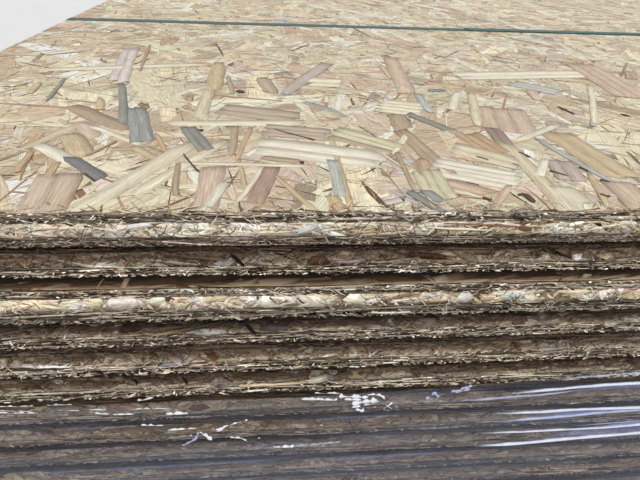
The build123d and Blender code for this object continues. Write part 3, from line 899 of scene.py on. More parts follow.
def sawnEdge(heap, origin, run, length, board, make, look, rng, proud, hang=0.0, topOpen=False):
    # origin: the face's lower left corner seen from outside; proud: how far chips may stand out;
    # hang: how far torn ends hang below; topOpen: whether burrs may rise over the upper arris
    out = np.cross(run, up)
    low, high = board["low"], board["high"]
    tall = high - low
    close = np.array(look["close"]) * mm
    startRun = float(origin @ run)
    ends = (run, startRun + 0.2 * mm, startRun + length - 0.2 * mm)
    inFace = [ends, (up, low + 0.05 * mm, high - 0.05 * mm)]
    inCore = [ends, (up, low + edgeLayers["reachLow"] * mm, high - edgeLayers["reachHigh"] * mm)]
    loose = [ends, (up, low - hang, high + (0.25 if topOpen else -0.05) * mm)]
    coreLow, coreHigh = edgeLayers["coreLow"] * mm, tall - edgeLayers["coreHigh"] * mm
    foot = make.get("foot", 1.0)
    # painted shade and light over this edge, by height
    paintedShade = paintedShadeOn(board, make)

    def isFar(s):
        return (s < close[0]) | (s > close[1])

    def scatter(kind):
        # places along the edge, many where it is seen close up and few elsewhere
        rate = look[kind] * make.get(kind, 1.0) * make.get("rich", 1.0) / mm
        near = rng.uniform(*close, int(rate * (close[1] - close[0])))
        s = np.concatenate([near, rng.uniform(0, length, int(rate * look["sparse"] * length))])
        return s, len(s)

    def put(name, s, h, angle, within=inFace, size=None, **more):
        kind = edgeKinds[name]
        if size is None:
            # larger where they are few
            typical, spread, *limits = kind["long"]
            size = typical * mm * rng.lognormal(0, spread, len(s)) * np.where(isFar(s), look["stretch"], 1.0)
            if limits:
                size = np.clip(size, limits[0] * mm, limits[1] * mm)
        shape = stripsOf(kind, rng, len(s), size, **more)
        mid = origin + s[:, None] * run + h[:, None] * up
        along = np.cos(angle)[:, None] * run + np.sin(angle)[:, None] * up
        # cracks and pits keep their own colour, the rest take the painted shade
        shade = None if name in ("cracks", "pits") else paintedShade
        heap.lay(mid, along, out, within=within, shade=shade, **shape)

    def standing(h, *heights):
        # the outermost layers stand furthest out, the foot most of all
        return np.interp(h / tall, (0, 0.10, 0.30, 0.70, 0.90, 1), heights) * proud

    def leaning(n, share, least, most):
        # slanted steeply, a share of them up to the right and the others down
        return np.where(rng.random(n) < share, 1, -1) * rng.uniform(least, most, n)

    # laminations of the two outer layers, wavy along the board, over a dark ground
    step = look["layerStep"] * mm
    levels = [(level + 0.5) * step for level in range(int(edgeLayers["outer"] * mm / step))]
    s, h, size = [], [], []
    for level in levels + [tall - level for level in levels]:
        reach = -rng.uniform(0, 20) * mm
        while reach < length:
            longer = look["stretch"] if isFar(reach) else 1.0
            one = rng.lognormal(math.log(look["chipLong"]), look["chipSpread"]) * mm * longer
            s.append(reach + one / 2)
            h.append(level + rng.normal(0, 0.12) * mm)
            size.append(one)
            reach += one * 0.9 + abs(rng.normal(0.5, 1.6)) * mm
    s, h, size = np.array(s), np.array(h), np.array(size)
    swell = rng.uniform(0, wholeTurn, 2)
    inner = np.clip(1 - np.abs(np.abs(h / tall - 0.5) - 0.22) * 4, 0, 1)
    h = h + (np.sin(s / mm / 31 + swell[0]) + 0.6 * np.sin(s / mm / 11.3 + swell[1])) * 0.45 * mm * inner
    lift = standing(h, 1.50 * foot, 1.10 * foot, 0.30, 0.30, 0.60, 0.55)
    put("layers", s, h, rng.normal(0, 0.03, len(s)), size=size, wideBy=step, liftBy=lift)

    # the core: broad slanting chips with torn straight sides, thin splinters standing in clumps, long leaves
    s, n = scatter("facets")
    h = rng.uniform(coreLow + 0.6 * mm, coreHigh - 0.6 * mm, n)
    put("facets", s, h, rng.normal(0, 0.34, n), inCore, liftBy=proud)
    s, n = scatter("bristles")
    s = (s + 5 * mm * np.sin(s / mm / 8.0)) % length
    h = (coreLow + coreHigh) / 2 + rng.normal(0, 0.8, n) * mm
    put("bristles", s, h, leaning(n, 0.65, 0.35, 1.35), inCore, liftBy=proud)
    s, n = scatter("leaves")
    h = rng.uniform(coreLow + 0.5 * mm, coreHigh - 0.5 * mm, n)
    put("leaves", s, h, rng.normal(0, 0.13, n), inCore, liftBy=proud)

    # thin dark cracks, fine fibres, dark slits between the layers, torn pale specks
    s, n = scatter("cracks")
    h = (coreLow + coreHigh) / 2 + rng.normal(0, 1.4, n) * mm
    put("cracks", s, h, -leaning(n, 0.6, 0.15, 1.2), liftBy=proud)
    s, n = scatter("fibres")
    h = rng.uniform(0.3 * mm, tall - 0.3 * mm, n)
    angle = np.where((h > coreLow) & (h < coreHigh), rng.uniform(-1.3, 1.3, n), rng.normal(0, 0.55, n))
    put("fibres", s, h, angle, liftBy=proud)
    s, n = scatter("pits")
    deep = edgeLayers["belowFace"]
    h = np.where(rng.random(n) < 0.5, rng.uniform(0.2, deep, n) * mm, tall - rng.uniform(0.2, deep, n) * mm)
    angle = rng.normal(0, 0.22, n)
    put("pits", s, h, angle, liftBy=standing(h, 1.50 * foot, 1.20 * foot, 0.62, 0.62, 0.78, 0.70))
    s, n = scatter("specks")
    h = np.where(rng.random(n) < 0.68, rng.uniform(0.05, 3.2, n) * mm, tall - rng.uniform(0.1, 4.2, n) * mm)
    angle = rng.normal(0, 0.4, n)
    put("specks", s, h, angle, liftBy=standing(h, 1.58 * foot, 1.25 * foot, 0.68, 0.68, 0.82, 0.74))

    # crumbs and torn ends along the lower arris, burrs along the upper
    for name, least in (("crumbs", -0.3), ("burrs", -0.3 if topOpen else 0.2)):
        s, n = scatter(name)
        h = rng.uniform(least, 0.9, n) * mm
        lower = name == "crumbs"
        angle = np.where(rng.random(n) < 0.6, rng.normal(0, 0.3, n), rng.uniform(-1.5, 1.5, n))
        put(name, s, h if lower else tall - h, angle, loose, liftBy=proud * foot if lower else proud)


# long tears, knots and hollows that show in the front edges: board, x and height of both ends in mm, width, colour,
# how far out
notableTears = [
    (4, 172, 4.8, 203, 11.6, 1.3, "tan", 0.9), (4, 159, 8.5, 166, 9.2, 4.2, "rustDark", 0.7),
    (2, 209.5, 10.5, 214.5, 4.5, 1.3, "hole", 0.95), (2, 243, 6.6, 251.5, 6.8, 4.0, "rustDark", 0.75),
    (2, 286, 8.8, 306, 7.0, 3.0, "rustDark", 0.6), (5, 191.5, 11.5, 196.5, 4.5, 3.4, "amberDark", 0.8),
    (5, 172, 4.0, 183, 3.9, 1.8, "greyDark", 0.75), (5, 176, 9.0, 181, 4.4, 3.2, "lavender", 0.9),
    (5, 338, 10.6, 342.5, 5.2, 1.8, "rustRed", 0.9), (5, 228, 5.5, 237, 12.0, 1.7, "straw", 0.95),
    (6, 200, 7.0, 208, 7.4, 5.2, "lavender", 0.8), (6, 246, 5.2, 257, 8.0, 4.6, "white", 0.85),
    (6, 213, 3.6, 245, 4.4, 1.4, "tan", 0.95), (6, 164, 10, 166, 6.5, 1.0, "hole", 0.9),
    (6, 187, 10.5, 189, 6.0, 1.2, "hole", 0.9), (3, 224, 9.0, 230, 8.2, 4.6, "white", 0.8),
    (3, 262, 9.2, 270, 8.8, 4.6, "white", 0.8), (3, 160, 8.0, 176, 8.4, 5.4, "lavender", 0.6),
    (3, 334, 8.6, 344, 8.4, 4.8, "greyLight", 0.6), (3, 274, 1.4, 292, 1.2, 1.2, "white", 1.3),
    (1, 300, 10.2, 346, 7.4, 0.6, "rustRed", 1.0), (1, 292, 8.4, 322, 6.6, 0.8, "cream", 0.95),
    (1, 236, 6.2, 244, 9.4, 3.0, "greyLight", 0.7), (1, 334, 8.0, 341, 6.2, 2.6, "rustDark", 0.8),
    (1, 163, 8.4, 176, 10.2, 2.2, "lavender", 0.8), (4, 220, 7.4, 233, 7.0, 4.2, "greyDark", 0.7),
    (4, 290, 8.6, 302, 8.2, 5.2, "lavender", 0.8), (4, 213, 9.6, 217, 4.0, 1.6, "hole", 0.9),
    (7, 196, 7.0, 204, 7.5, 4.0, "rustRed", 0.8), (2, 180, 10.8, 206, 7.6, 1.2, "taupe", 0.8)]
woodTones.update(rustDark=(124, 92, 68), rustRed=(146, 104, 76), amberDark=(158, 120, 76))


def frontPieces(look):
    for k in range(1, carvedBoards + 1):
        board = boards[k]
        # whether the board below stands out further, so that nothing may hang over it
        further = boards[k + 1]["corner"] @ boards[k + 1]["back"] < board["corner"] @ board["back"] - 0.5 * mm
        proud = (1.0 if k == 1 else 1.7 if k <= bareBoards else 0.5) * mm
        hang = 0.0 if further or k >= bareBoards or k == 1 else 0.35 * mm
        heap = Heap("front_edge_%02d" % k)
        rng = np.random.default_rng(look["seed"] + k)
        make = edgeMakes.get(k, coveredMake)
        right = board["right"]
        origin = board["corner"] + up * board["low"]
        sawnEdge(heap, origin, right, board["wide"], board, make, look, rng, proud, hang, k == 1)
        for _, x0, h0, x1, h1, width, wood, out in [row for row in notableTears if row[0] == k]:
            start, end = np.array([x0, h0]) * mm, np.array([x1, h1]) * mm
            middle, lean = (start + end) / 2, end - start
            along = (lean[0] * right + lean[1] * up) / np.hypot(*lean)
            tone = [*linear(*woodTones[wood]), rng.random()]
            # the tears take the edge's painted shade too
            heap.lay(origin + middle[0] * right + middle[1] * up, along, -board["back"], np.hypot(*lean),
                     width * mm, out * proud, tone, shade=paintedShadeOn(board, make), stations=6, skirt=0.6 * mm,
                     bow=rng.normal(0, 0.4) * mm, tiltAcross=0.12 * mm, tips=(0.6, 0.7), skews=(0.9, -1.1),
                     ragged=0.12 * mm, taper=0.3)
        heap.make(chipWood)


def sidePieces(look):
    # the right side, the far end and the left side of the bare boards
    for k in range(1, bareBoards + 1):
        board = boards[k]
        heap = Heap("side_edges_%02d" % k)
        rng = np.random.default_rng(look["seed"] + k)
        low = up * board["low"]
        right, back, wide, deep = board["right"], board["back"], board["wide"], board["deep"]
        farRight = board["corner"] + right * wide
        farBack = farRight + back * deep
        backLeft = board["corner"] + back * deep
        for origin, run, length in ((farRight, back, deep), (farBack, -right, wide), (backLeft, -back, deep)):
            sawnEdge(heap, origin + low, run, length, board, openMake, look, rng, 0.8 * mm)
        heap.make(chipWood)


frontPieces(frontEdge)
print("front edges torn")
sidePieces(otherEdge)
print("side and back edges torn")

# strands on the narrow ledge where a board stands out under the one above it; tones: how light they are painted at
# depths from 0 at its front to 1 against the board above, as a painted shadow of that board
ledgeLook = dict(
    seed=60, boards=(3, 5), strands=760, shadeBrown=(1.0, 0.60, 0.36), depths=(0.0, 0.07, 0.17, 0.28, 0.42, 0.60),
    tones=(0.62, 0.28, 0.11, 0.06, 0.028, 0.008))
ledgeStrand = dict(
    palette=facePalette, toneSpread=0.17, long=("size", 34, 0.5), wide=("size", 3.0, 0.5), lift=("even", 0.08, 0.4),
    bow=0.5, tiltAlong=0.1, tips=("even", 0.2, 1), stations=4)


def ledgePieces(look):
    for k in look["boards"]:
        board, above = boards[k], boards[k - 1]
        heap = Heap("ledge_strands_%02d" % k)
        rng = np.random.default_rng(look["seed"] + k)
        corner = board["corner"] + up * board["high"]
        deep = (above["corner"] - board["corner"]) @ board["back"] - 0.9 * mm
        n = look["strands"]
        x = rng.uniform(0, board["wide"], n)
        y = rng.uniform(0, deep, n)
        angle = np.where(rng.random(n) < 0.75, rng.normal(1.5, 0.2, n), rng.uniform(-quarter, quarter, n))
        along = np.sin(angle)[:, None] * board["right"] + np.cos(angle)[:, None] * board["back"]
        mid = corner + x[:, None] * board["right"] + y[:, None] * board["back"]
        reachX, reachY = float(corner @ board["right"]), float(corner @ board["back"])
        within = [(board["right"], reachX, reachX + board["wide"]), (board["back"], reachY, reachY + deep)]
        depth = lambda points: (points @ board["back"] - reachY) / deep
        # painted shadow of the board above, darker and browner towards it
        paintedShade = lambda points: paintedShaded(np.interp(depth(points), look["depths"], look["tones"]), look["shadeBrown"])
        heap.lay(mid, along, up, shade=paintedShade, within=within, **stripsOf(ledgeStrand, rng, n))
        heap.make(faceWood)


ledgePieces(ledgeLook)
print("ledges laid")

# off: how far the film lies off the boards; low: how high above the floor it ends; brim: its upper edge, by mm
# along the front from the left corner and against the joint under board 6; second: the edge of its second turn
filmShape = dict(
    seed=77, off=0.95, low=3.0, wrinkle=0.55, waves=26, crumples=170, roundStep=0.26, frontLong=1230,
    coarseFrom=1222, crumplesFrom=1100, seenFrom=80, seenTo=470,
    brim=[(0, -2.2), (102, -2.6), (168, -2.8), (239, -1.1), (308, 1.7), (360, 5.0), (413, 9.2), (520, 11.0),
        (700, 3.0), (900, -2.0), (1100, 1.0), (1220, 2.0)],
    second=[(0, -40), (150, -36), (260, -31), (325, -19), (365, -6), (430, 3), (620, 1), (1000, -9), (1220, -14)])
# a board's thickness, how high over each joint the film is drawn over an arris, and how far it sinks in between
filmStep = dict(thick=15.0, arris=13.4, arrisWide=0.9, slack=0.35)
# profile: from one side of a fold to the other, how solid and how high it is
# white and pale: folds whitened as doubled film and as painted highlights; shine: painted glints; blue: a painted
# reflection
foldGlintLook = dict(
    seed=31, white=linear(226, 231, 248), pale=linear(188, 198, 234), blue=linear(142, 152, 204),
    shine=linear(244, 246, 250), short=30,
    profile=((-1, 0.0, 0.03), (-0.5, 0.62, 0.22), (0, 1.0, 0.36), (0.5, 0.62, 0.22), (1, 0.0, 0.03)))
# folds and painted highlights on the front: white and pale ones are folds whitened as doubled film and as painted
# highlights, shine ones painted glints, blue ones a painted reflection; width in mm, how proud, how solid, colour,
# then x and height of points against the same joint
foldGlintLines = [
    (1.7, 0.8, 0.75, "pale", [(357, 4.3), (410, 7.5), (455, 9.0)]),
    (3.0, 1.2, 1.0, "white", [(339, -3.6), (366, -2.0), (383, -0.4), (398, 0.3), (413, 0.6), (500, 2.5)]),
    (2.0, 0.8, 0.75, "pale", [(311, -7.2), (333, -7.4), (346, -6.2), (364, -5.6), (384, -2.6), (393, -0.8)]),
    (3.0, 1.2, 1.0, "white", [(333, -16.9), (367, -17.7), (384, -16.8), (419, -17.2), (510, -15.0)]),
    (3.2, 1.0, 0.95, "pale", [(338, -23.6), (352, -23.1), (369, -22.4), (382, -21.8), (401, -19.9), (420, -19.3),
                              (500, -17.5)]),
    (2.8, 1.1, 1.0, "white", [(329, -30.9), (358, -32.0), (388, -31.6), (405, -31.6), (424, -30.4), (505, -29.0)]),
    (1.3, 0.5, 0.60, "pale", [(379, -29.4), (423, -27.8), (470, -27.0)]),
    (3.4, 1.2, 1.0, "white", [(328, -40.8), (352, -41.4), (368, -40.5), (390, -39.0), (407, -38.3), (427, -37.2),
                              (520, -35.0)]),
    (5.4, 0.0, 0.40, "blue", [(372, -4.0), (400, -1.8), (430, -1.0), (500, 0.8)]),
    (5.6, 0.0, 0.55, "blue", [(358, -20.4), (390, -18.9), (425, -18.3), (500, -16.4)]),
    (8.4, 0.0, 0.34, "blue", [(368, -36.2), (400, -35.0), (430, -33.6), (510, -32.0)]),
    (3.6, 0.0, 0.45, "pale", [(390, -31.0), (430, -29.4), (500, -28.0)]),
    (0.9, 0.3, 0.80, "shine", [(92, 0.3), (105, 0.1), (119, -0.3)]),
    (0.8, 0.2, 0.60, "shine", [(124, -0.1), (136, -0.3)]),
    (0.9, 0.3, 0.75, "shine", [(96, -2.0), (104, -2.4), (117, -4.1)]),
    (1.0, 0.4, 0.90, "shine", [(92, -3.6), (104, -4.1), (120, -5.2)]),
    (0.9, 0.3, 0.75, "shine", [(128, -3.8), (138, -4.8)]), (0.9, 0.3, 0.80, "shine", [(142, -4.2), (150, -4.9)]),
    (1.2, 0.4, 0.80, "shine", [(144, -6.8), (151, -7.7)]), (1.5, 0.5, 1.0, "shine", [(152, -7.9), (162, -8.2)]),
    (1.0, 0.3, 0.80, "shine", [(161, -5.0), (170, -5.0)]), (0.9, 0.3, 0.75, "shine", [(170, -4.8), (178, -5.7)]),
    (1.6, 0.5, 1.0, "shine", [(176, -9.0), (187, -9.0)]),
    (1.2, 0.4, 0.85, "shine", [(164, 0.7), (168, 1.2), (172, 2.3)]),
    (1.2, 0.4, 0.95, "shine", [(164, -15.3), (169, -15.6), (175, -16.3)]),
    (1.3, 0.5, 0.95, "shine", [(176, -20.0), (185, -19.7)]),
    (0.9, 0.3, 0.80, "shine", [(185, -19.7), (190, -19.8)]),
    (1.5, 0.6, 1.0, "shine", [(197, -20.3), (201, -21.3), (205, -18.0), (212, -15.6)]),
    (1.8, 0.6, 0.75, "pale", [(182, -31.2), (189, -26.8), (191, -21.6)]),
    (1.7, 0.6, 1.0, "shine", [(191, -21.8), (194, -24.5), (197, -28.4)]),
    (1.4, 0.5, 1.0, "shine", [(205, -26.4), (211, -27.3), (214, -29.7)]),
    (2.2, 0.5, 1.0, "shine", [(227, -35.2), (238, -35.6)]), (2.0, 0.4, 0.45, "white", [(236, -35.6), (262, -33.8)]),
    (2.0, 0.6, 1.0, "shine", [(240, -2.2), (248, -2.6), (258, -3.8)]),
    (1.0, 0.3, 0.80, "shine", [(246, 1.4), (259, 0.7)]),
    (2.6, 0.7, 1.0, "shine", [(258, -1.3), (266, -1.6), (273, -2.8)]),
    (3.6, 0.7, 1.0, "shine", [(265, -7.4), (270, -5.6), (278, -5.0)]),
    (2.4, 0.6, 1.0, "shine", [(267, -10.4), (272, -12.2)]), (1.2, 0.5, 1.0, "shine", [(281, -7.0), (286, -11.6)]),
    (1.2, 0.5, 1.0, "shine", [(281, -11.2), (286, -7.2)]),
    (1.4, 0.5, 0.95, "shine", [(272, -1.0), (277, -0.8), (280, -2.6), (282, -5.0)]),
    (1.6, 0.5, 0.95, "shine", [(261, -3.6), (266, -3.9), (270, -4.2)]),
    (1.2, 0.5, 0.90, "shine", [(271, -8.4), (276, -7.2), (279, -5.6)]),
    (1.3, 0.5, 0.95, "shine", [(265, -9.4), (270, -8.8)]), (0.9, 0.4, 0.80, "shine", [(276, -10.0), (278, -9.4)]),
    (0.9, 0.4, 0.80, "shine", [(287, -10.4), (289, -9.6)]), (1.0, 0.4, 0.85, "shine", [(212, -15.4), (215, -14.8)]),
    (0.9, 0.4, 0.80, "shine", [(199, -22.4), (203, -21.2)]),
    (0.8, 0.4, 0.75, "shine", [(219, -28.2), (221, -28.0)]),
    (0.8, 0.4, 0.75, "shine", [(186, -24.4), (188, -24.0)]),
    (0.8, 0.4, 0.75, "shine", [(250, -20.6), (252, -21.6)]),
    (1.5, 0.5, 0.85, "pale", [(302, -5.8), (306, -1.6), (309, -4.8)]),
    (1.2, 0.4, 0.70, "pale", [(302, -5.6), (309, -5.2)]),
    (1.6, 0.5, 0.90, "pale", [(314, -1.5), (320, 1.2), (327, 3.1)]),
    (2.4, 0.4, 0.60, "white", [(316, -1.4), (324, 0.4)]), (1.6, 0.2, 0.26, "blue", [(120, -16.5), (168, -16.0)]),
    (2.4, 0.2, 0.22, "blue", [(205, -36.0), (262, -34.5)]), (2.2, 0.2, 0.22, "blue", [(230, -17.0), (300, -15.2)]),
    (2.0, 0.2, 0.22, "blue", [(110, -31.5), (172, -31.0)]), (2.6, 0.2, 0.25, "blue", [(100, -46.5), (242, -45.0)]),
    (3.0, 0.3, 0.30, "blue", [(240, -47.5), (332, -45.0)]),
    (2.4, 1.0, 0.70, "white", [(560, -14.0), (640, -12.5), (740, -9.0)]),
    (2.6, 1.0, 0.60, "pale", [(600, -28.0), (700, -31.0), (850, -33.0)]),
    (2.2, 1.0, 0.60, "white", [(760, -6.0), (980, -12.0)]), (2.6, 1.0, 0.60, "pale", [(900, -40.0), (1150, -36.0)]),
    (1.6, 0.8, 0.60, "white", [(10, -12.0), (84, -14.0)])]


def outlineOf(places):
    # the outline that encloses all places, anticlockwise
    places = sorted(map(tuple, places))
    turns = lambda o, p, q: (p[0] - o[0]) * (q[1] - o[1]) - (p[1] - o[1]) * (q[0] - o[0])
    outline = []
    for way in (places, places[::-1]):
        chain = []
        for p in way:
            while len(chain) > 1 and turns(chain[-2], chain[-1], p) <= 1e-9:
                chain.pop()
            chain.append(p)
        outline += chain[:-1]
    return np.array(outline)


def wrapPath(look):
    # the way round the wrapped boards from their front left corner, each corner rounded: x, y and the way outward
    corners = []
    for k in range(bareBoards + 1, boardCount + 1):
        b = boards[k]
        for a, c in ((0, 0), (1, 0), (1, 1), (0, 1)):
            corners.append((b["corner"] + a * b["wide"] * b["right"] + c * b["deep"] * b["back"])[:2])
    hull = outlineOf(corners)
    hull = np.roll(hull, -int(np.argmin(hull.sum(1))), 0)
    path = []
    for i, p in enumerate(hull):
        before, after = p - hull[i - 1], hull[(i + 1) % len(hull)] - p
        before, after = before / np.linalg.norm(before), after / np.linalg.norm(after)
        turnBy = math.atan2(before[0] * after[1] - before[1] * after[0], before @ after)
        steps = max(1, int(round(turnBy / look["roundStep"])))
        for j in range(steps + 1):
            c, d = math.cos(turnBy * j / steps), math.sin(turnBy * j / steps)
            outward = np.array([before[1] * c + before[0] * d, -before[0] * c + before[1] * d])
            path.append((*(p + outward * look["off"] * mm), *outward))
    return np.array(path)


def filmPiece(look):
    rng = np.random.default_rng(look["seed"])
    path = wrapPath(look)
    loop = np.vstack([path, path[:1]])
    reach = np.concatenate([[0], np.cumsum(np.linalg.norm(np.diff(loop[:, :2], axis=0), axis=1))])
    around = float(reach[-1])
    # lengths along the wrap count from under the top board's front left corner
    begin = float(path[0, 0] - boards[1]["corner"][0])
    reach += begin
    joint = boards[bareBoards]["low"]
    # long soft wrinkles: period, slope, phase, length and phase of their coming and going, strength
    waves = [(rng.uniform(4, 15), rng.normal(0.015, 0.02), rng.uniform(0, wholeTurn), rng.uniform(60, 180),
              rng.uniform(0, wholeTurn), rng.uniform(0.02, 0.08)) for _ in range(look["waves"])]
    # loose folds away from the front: place, length, width, height, slope, strength, whiteness, partly as painted
    # glints
    crumples = [(rng.uniform(look["frontLong"], around / mm - 20), rng.lognormal(math.log(160), 0.6),
                 rng.uniform(4.0, 9.0), -rng.uniform(0, 320), rng.normal(0.0, 0.05), rng.uniform(0.4, 1.4),
                 rng.uniform(0.0, 0.5)) for _ in range(look["crumples"])]

    def brimAt(s):
        # height of the film's upper edge, s in mm along the wrap
        places = [p[0] for p in look["brim"]] + [around / mm]
        heights = [p[1] for p in look["brim"]] + [look["brim"][0][1]]
        swing = 3 * np.sin(s * 0.0051) + 1.5 * np.sin(s * 0.0137)
        return np.interp(s, places, heights) + np.where(s > look["frontLong"], swing, 0)

    def secondAt(s):
        # height of the edge of the turn that lies over the first
        return np.interp(s, *np.array(look["second"] + [(around / mm, look["second"][0][1])], float).T)

    def reliefAt(s, h):
        # how far the film stands out in mm, and how creased it is, which also carries painted highlights: long
        # wrinkles, slack between the joints, folds
        drop = brimAt(s) - h
        wrinkles = np.zeros_like(s)
        crease = np.zeros_like(s)
        for period, slope, phase, gatePeriod, gatePhase, strength in waves:
            gate = 0.5 + 0.5 * np.sin(s / gatePeriod + gatePhase)
            wrinkles += np.sin((h - s * slope) / period * wholeTurn + phase) * gate * strength
        overJoint = h % filmStep["thick"]
        slack = -np.abs(np.sin(np.pi * overJoint / filmStep["thick"])) * filmStep["slack"]
        for wide, proud, solid, _, line in foldGlintLines:
            xs, hs = np.array(line, float).T
            if proud < 0.15 or np.any(np.diff(xs) <= 0):
                continue
            across = (h - np.interp(s, xs, hs)) / (wide * 0.5)
            ramp = min(8.0, (xs[-1] - xs[0]) / 3)
            ends = np.clip((s - xs[0]) / ramp, 0, 1) * np.clip((xs[-1] - s) / ramp, 0, 1)
            # steeper below its ridge than above
            ridge = np.exp(-np.where(across > 0, across, across * 1.6) ** 2) * ends
            wrinkles += ridge * proud
            crease = np.maximum(crease, np.exp(-(across / 2.6) ** 2) * ends * solid * 0.30)
        far = s > look["crumplesFrom"]
        if far.any():
            sFar, hFar = s[far], h[far]
            for x0, long, wide, h0, slope, strength, white in crumples:
                ridge = np.exp(-((hFar - h0 - (sFar - x0) * slope) / wide) ** 2 - ((sFar - x0) / long) ** 2)
                wrinkles[far] += ridge * strength
                crease[far] = np.maximum(crease[far], ridge * white)
        # painted highlights: faint bright lines where the film is drawn over the boards' arrises; a rolled upper
        # edge, whiter as film rolled double and as a painted highlight
        broken = np.clip(np.sin(s / 37.0 + h * 0.21) + 0.5 * np.sin(s / 13.0 + h * 0.9) - 0.1, 0, 1)
        arrisHighlight = np.exp(-((overJoint - filmStep["arris"]) / filmStep["arrisWide"]) ** 2) * broken
        crease = np.maximum(crease, arrisHighlight * 0.30)
        roll = np.exp(-(drop / 0.9) ** 2)
        crease = np.maximum(crease, roll * (0.20 + 0.30 * np.sin(s * 0.11) ** 2))
        turnEdge = np.exp(-((secondAt(s) - h) / 0.7) ** 2)
        crease = np.maximum(crease, turnEdge * (0.10 + 0.16 * np.sin(s * 0.07) ** 2))
        stands = look["wrinkle"] * np.maximum(wrinkles, -0.5) + slack + 0.35 + roll * 0.25
        return np.maximum(stands, -0.15), crease

    def skinAt(s, h, lift=0.0):
        # points on the film, s along the wrap and h against the joint, both in mm
        at = np.stack([np.interp(s * mm, reach, loop[:, i]) for i in range(4)], -1)
        at[..., 2:] /= np.linalg.norm(at[..., 2:], axis=-1, keepdims=True)
        push, crease = reliefAt(s, h)
        push = (push + lift) * mm
        x, y = at[..., 0] + at[..., 2] * push, at[..., 1] + at[..., 3] * push
        return np.stack([x, y, joint + h * mm], -1), crease

    # fine steps where the film is seen close up, coarser ones along the rest of the front, long ones behind
    stops = [begin]
    while stops[-1] < begin + around - 1 * mm:
        s = stops[-1]
        closeUp = look["seenFrom"] * mm < s < look["seenTo"] * mm
        pace = 2.2 if closeUp else 8.0 if s < look["coarseFrom"] * mm else 30.0
        following = reach[reach > s + 0.05 * mm]
        stops.append(min(s + pace * mm, float(following[0]) if len(following) else begin + around))
    s = np.array(stops[:-1]) / mm
    rows = np.concatenate([np.arange(0, 56, 0.95), np.arange(56, 96, 2.0), np.arange(96, 320, 7.0), [1000.0]])
    least = look["low"] - joint / mm
    h = np.maximum(brimAt(s)[None, :] - rows[:, None], least)
    h[-1] = least
    s = np.broadcast_to(s, h.shape)
    points, crease = skinAt(s.copy(), h)
    r, c = h.shape
    low, left = np.meshgrid(np.arange(r - 1), np.arange(c), indexing="ij")
    right = (left + 1) % c
    below, above = low * c, (low + 1) * c
    faces = np.stack([below + left, above + left, above + right, below + right], -1).reshape(-1, 4)
    # its flat map is the wrap cut into four rows
    passed = (s[:-1] * mm - begin) / around
    lane = np.floor(passed * 3.9999).reshape(-1, 1)
    beside = np.where(right == 0, 1.0, (s[0][right] * mm - begin) / around).reshape(-1)
    u = np.stack([passed.reshape(-1), passed.reshape(-1), beside, beside], -1) * 4 - lane
    v = (h.ravel()[faces] - least + 4) / 360 * 0.96
    flat = np.stack([u * 0.97 + 0.005, (v + lane) / 4], -1).reshape(-1, 2)
    layers = 1 + 0.8 * np.clip((secondAt(s) - h) / 1.6 + 0.5, 0, 1)
    points = points.reshape(-1, 3)
    values = dict(crease=crease.ravel(), layers=layers.ravel())
    piece = meshPiece("stretch_film_wrap", points, faces, filmSkin, dict(OFBake=flat), values)
    piece.data.shade_smooth()
    return piece, skinAt, around


def foldGlintPiece(look, skinAt):
    # film doubled over along each fold, with painted highlights along it: a low ridge, five points across
    rng = np.random.default_rng(look["seed"])
    points, faces, solids, tones, flat = [], [], [], [], []
    base = 0
    for index, (wide, proud, solid, colour, line) in enumerate(foldGlintLines):
        xs, hs = np.array(line, float).T
        legs = np.concatenate([[0], np.cumsum(np.hypot(np.diff(xs), np.diff(hs)))])
        short = legs[-1] < look["short"]
        n = max(9, int(legs[-1] / (0.5 if short else 0.9)))
        t = np.linspace(0, legs[-1], n)
        x, h = np.interp(t, legs, xs), np.interp(t, legs, hs)
        blur = min(17, n // 3) // 2 * 2 + 1
        if not short:
            # a long fold bends softly
            over = blur // 2
            pad = lambda at: np.concatenate([2 * at[0] - at[over:0:-1], at, 2 * at[-1] - at[-2:-over - 2:-1]])
            x, h = (np.convolve(pad(values), np.ones(blur) / blur, "valid") for values in (x, h))
        run = 3 if short else 9
        rough = np.convolve(rng.normal(0, 1, n + 18), np.ones(run) / run, "same")[9:9 + n] * (1.0 if short else 0.5)
        dx, dh = np.gradient(x), np.gradient(h)
        size = np.hypot(dx, dh)
        ramp = 0.9 if short else min(24.0, legs[-1] / 3)
        ends = np.clip(np.minimum(t, legs[-1] - t) / ramp, 0, 1)
        half = wide / 2 * np.maximum(1 + (0.55 if short else 0.25) * rough, 0.15) * (0.30 + 0.70 * ends)
        for step, share, rise in look["profile"]:
            sAt = x - dh / size * half * step
            hAt = h + dx / size * half * step + (0.18 if short else 0.08) * rough
            points.append(skinAt(sAt, hAt, 0.08 + rise * min(proud, 1.0))[0])
            solids.append(share * ends * np.clip(1 + 0.35 * rough, 0.3, 1.4))
            flat.append(np.stack([t / 260, np.full(n, (index + 0.5 + step * 0.35) / len(foldGlintLines))], -1))
            tones.append(np.tile([*look[colour], solid], (n, 1)))
        j, k = np.meshgrid(np.arange(4), np.arange(n - 1), indexing="ij")
        a = base + j * n + k
        faces.append(np.stack([a, a + 1, a + n + 1, a + n], -1).reshape(-1, 4))
        base += 5 * n
    values = dict(half=np.concatenate(solids))
    piece = meshPiece(
        "film_glint_folds", np.concatenate(points), np.concatenate(faces), foldGlintSkin,
        dict(OFBake=np.concatenate(flat)), values, np.concatenate(tones))
    piece.data.shade_smooth()
    return piece


film, skinAt, around = filmPiece(filmShape)
foldGlints = foldGlintPiece(foldGlintLook, skinAt)
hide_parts("stretch_film")
print("film wrapped")

# lens and sensor in mm, angles in degrees, place in metres
view = dict(lens=30.375, sensor=36.0, yaw=7.683, pitch=29.441, roll=3.273, place=(-0.391645, -1.411138, 0.522600))
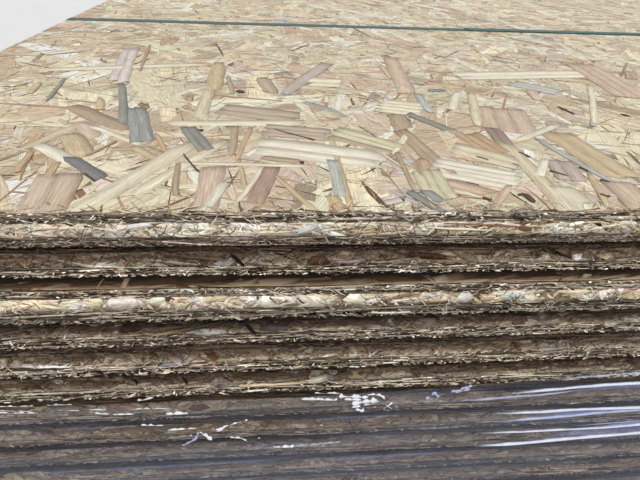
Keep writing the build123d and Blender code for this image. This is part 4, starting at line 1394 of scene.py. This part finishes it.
# the lamp's height and turn in degrees (0 is straight in front, positive to the right), its strength and softness;
# around: the light all round
studio = dict(height=60, turn=-12, strength=2.62, spread=24, around=0.30)
floorLook = dict(reach=16.0, speckle=3.0, low=(0.74, 0.74, 0.74), high=(0.77, 0.77, 0.77))


def cameraFrom(look):
    yaw, pitch, roll = (math.radians(look[key]) for key in ("yaw", "pitch", "roll"))
    ahead = np.array([math.sin(yaw) * math.cos(pitch), math.cos(yaw) * math.cos(pitch), -math.sin(pitch)])
    side = np.array([math.cos(yaw), -math.sin(yaw), 0.0])
    top = np.cross(side, ahead)
    right = math.cos(roll) * side + math.sin(roll) * top
    above = -math.sin(roll) * side + math.cos(roll) * top
    data = bpy.data.cameras.new("camera")
    data.lens = look["lens"]
    data.sensor_width = look["sensor"]
    data.clip_start = 0.01
    data.clip_end = 60.0
    camera = bpy.data.objects.new("camera", data)
    rows = [(right[i], above[i], -ahead[i], look["place"][i]) for i in range(3)]
    camera.matrix_world = Matrix(rows + [(0, 0, 0, 1)])
    bpy.context.scene.collection.objects.link(camera)
    bpy.context.scene.camera = camera


def lightFrom(look):
    data = bpy.data.lights.new("key_light", "SUN")
    data.energy = look["strength"]
    data.angle = math.radians(look["spread"])
    lamp = bpy.data.objects.new("key_light", data)
    lamp.rotation_euler = (math.radians(90 - look["height"]), 0, math.radians(look["turn"]))
    bpy.context.scene.collection.objects.link(lamp)
    # plain light all round, and a white background where the camera, a reflection or the film looks past the object
    w = Finish("studio_light", bpy.data.worlds)
    ray = lambda kind: w.add("ShaderNodeLightPath", None, None, kind)
    seen = ray("Is Camera Ray").most(ray("Is Glossy Ray")).most(ray("Is Transmission Ray"))
    glow = lambda strength: w.add("ShaderNodeBackground", None, {"Color": (1.0, 1.0, 1.0), "Strength": strength})
    both = w.add("ShaderNodeMixShader", None, {0: seen, 1: glow(look["around"]), 2: glow(1.0)})
    bpy.context.scene.world = w.surface(both, "ShaderNodeOutputWorld")


def floorPiece(look):
    mesh = bpy.data.meshes.new("floor")
    r = look["reach"]
    mesh.from_pydata([(-r, -r, 0), (r, -r, 0), (r, r, 0), (-r, r, 0)], [], [(0, 1, 2, 3)])
    f = Finish("floor_paint")
    x, y, _ = f.split(f.add("ShaderNodeTexCoord", None, None, "Object"))
    speckle = f.noise(f.vector(x * look["speckle"], y * look["speckle"], 0.0))
    sockets = {"Base Color": f.mix(speckle, look["low"], look["high"]), "Roughness": 0.86 + speckle * 0.08}
    mesh.materials.append(f.surface(f.add("ShaderNodeBsdfPrincipled", None, sockets)))
    floor = bpy.data.objects.new("floor", mesh)
    bpy.context.scene.collection.objects.link(floor)


cameraFrom(view)
lightFrom(studio)
floorPiece(floorLook)
bpy.context.scene.view_settings.view_transform = "Standard"
print("camera and light set")
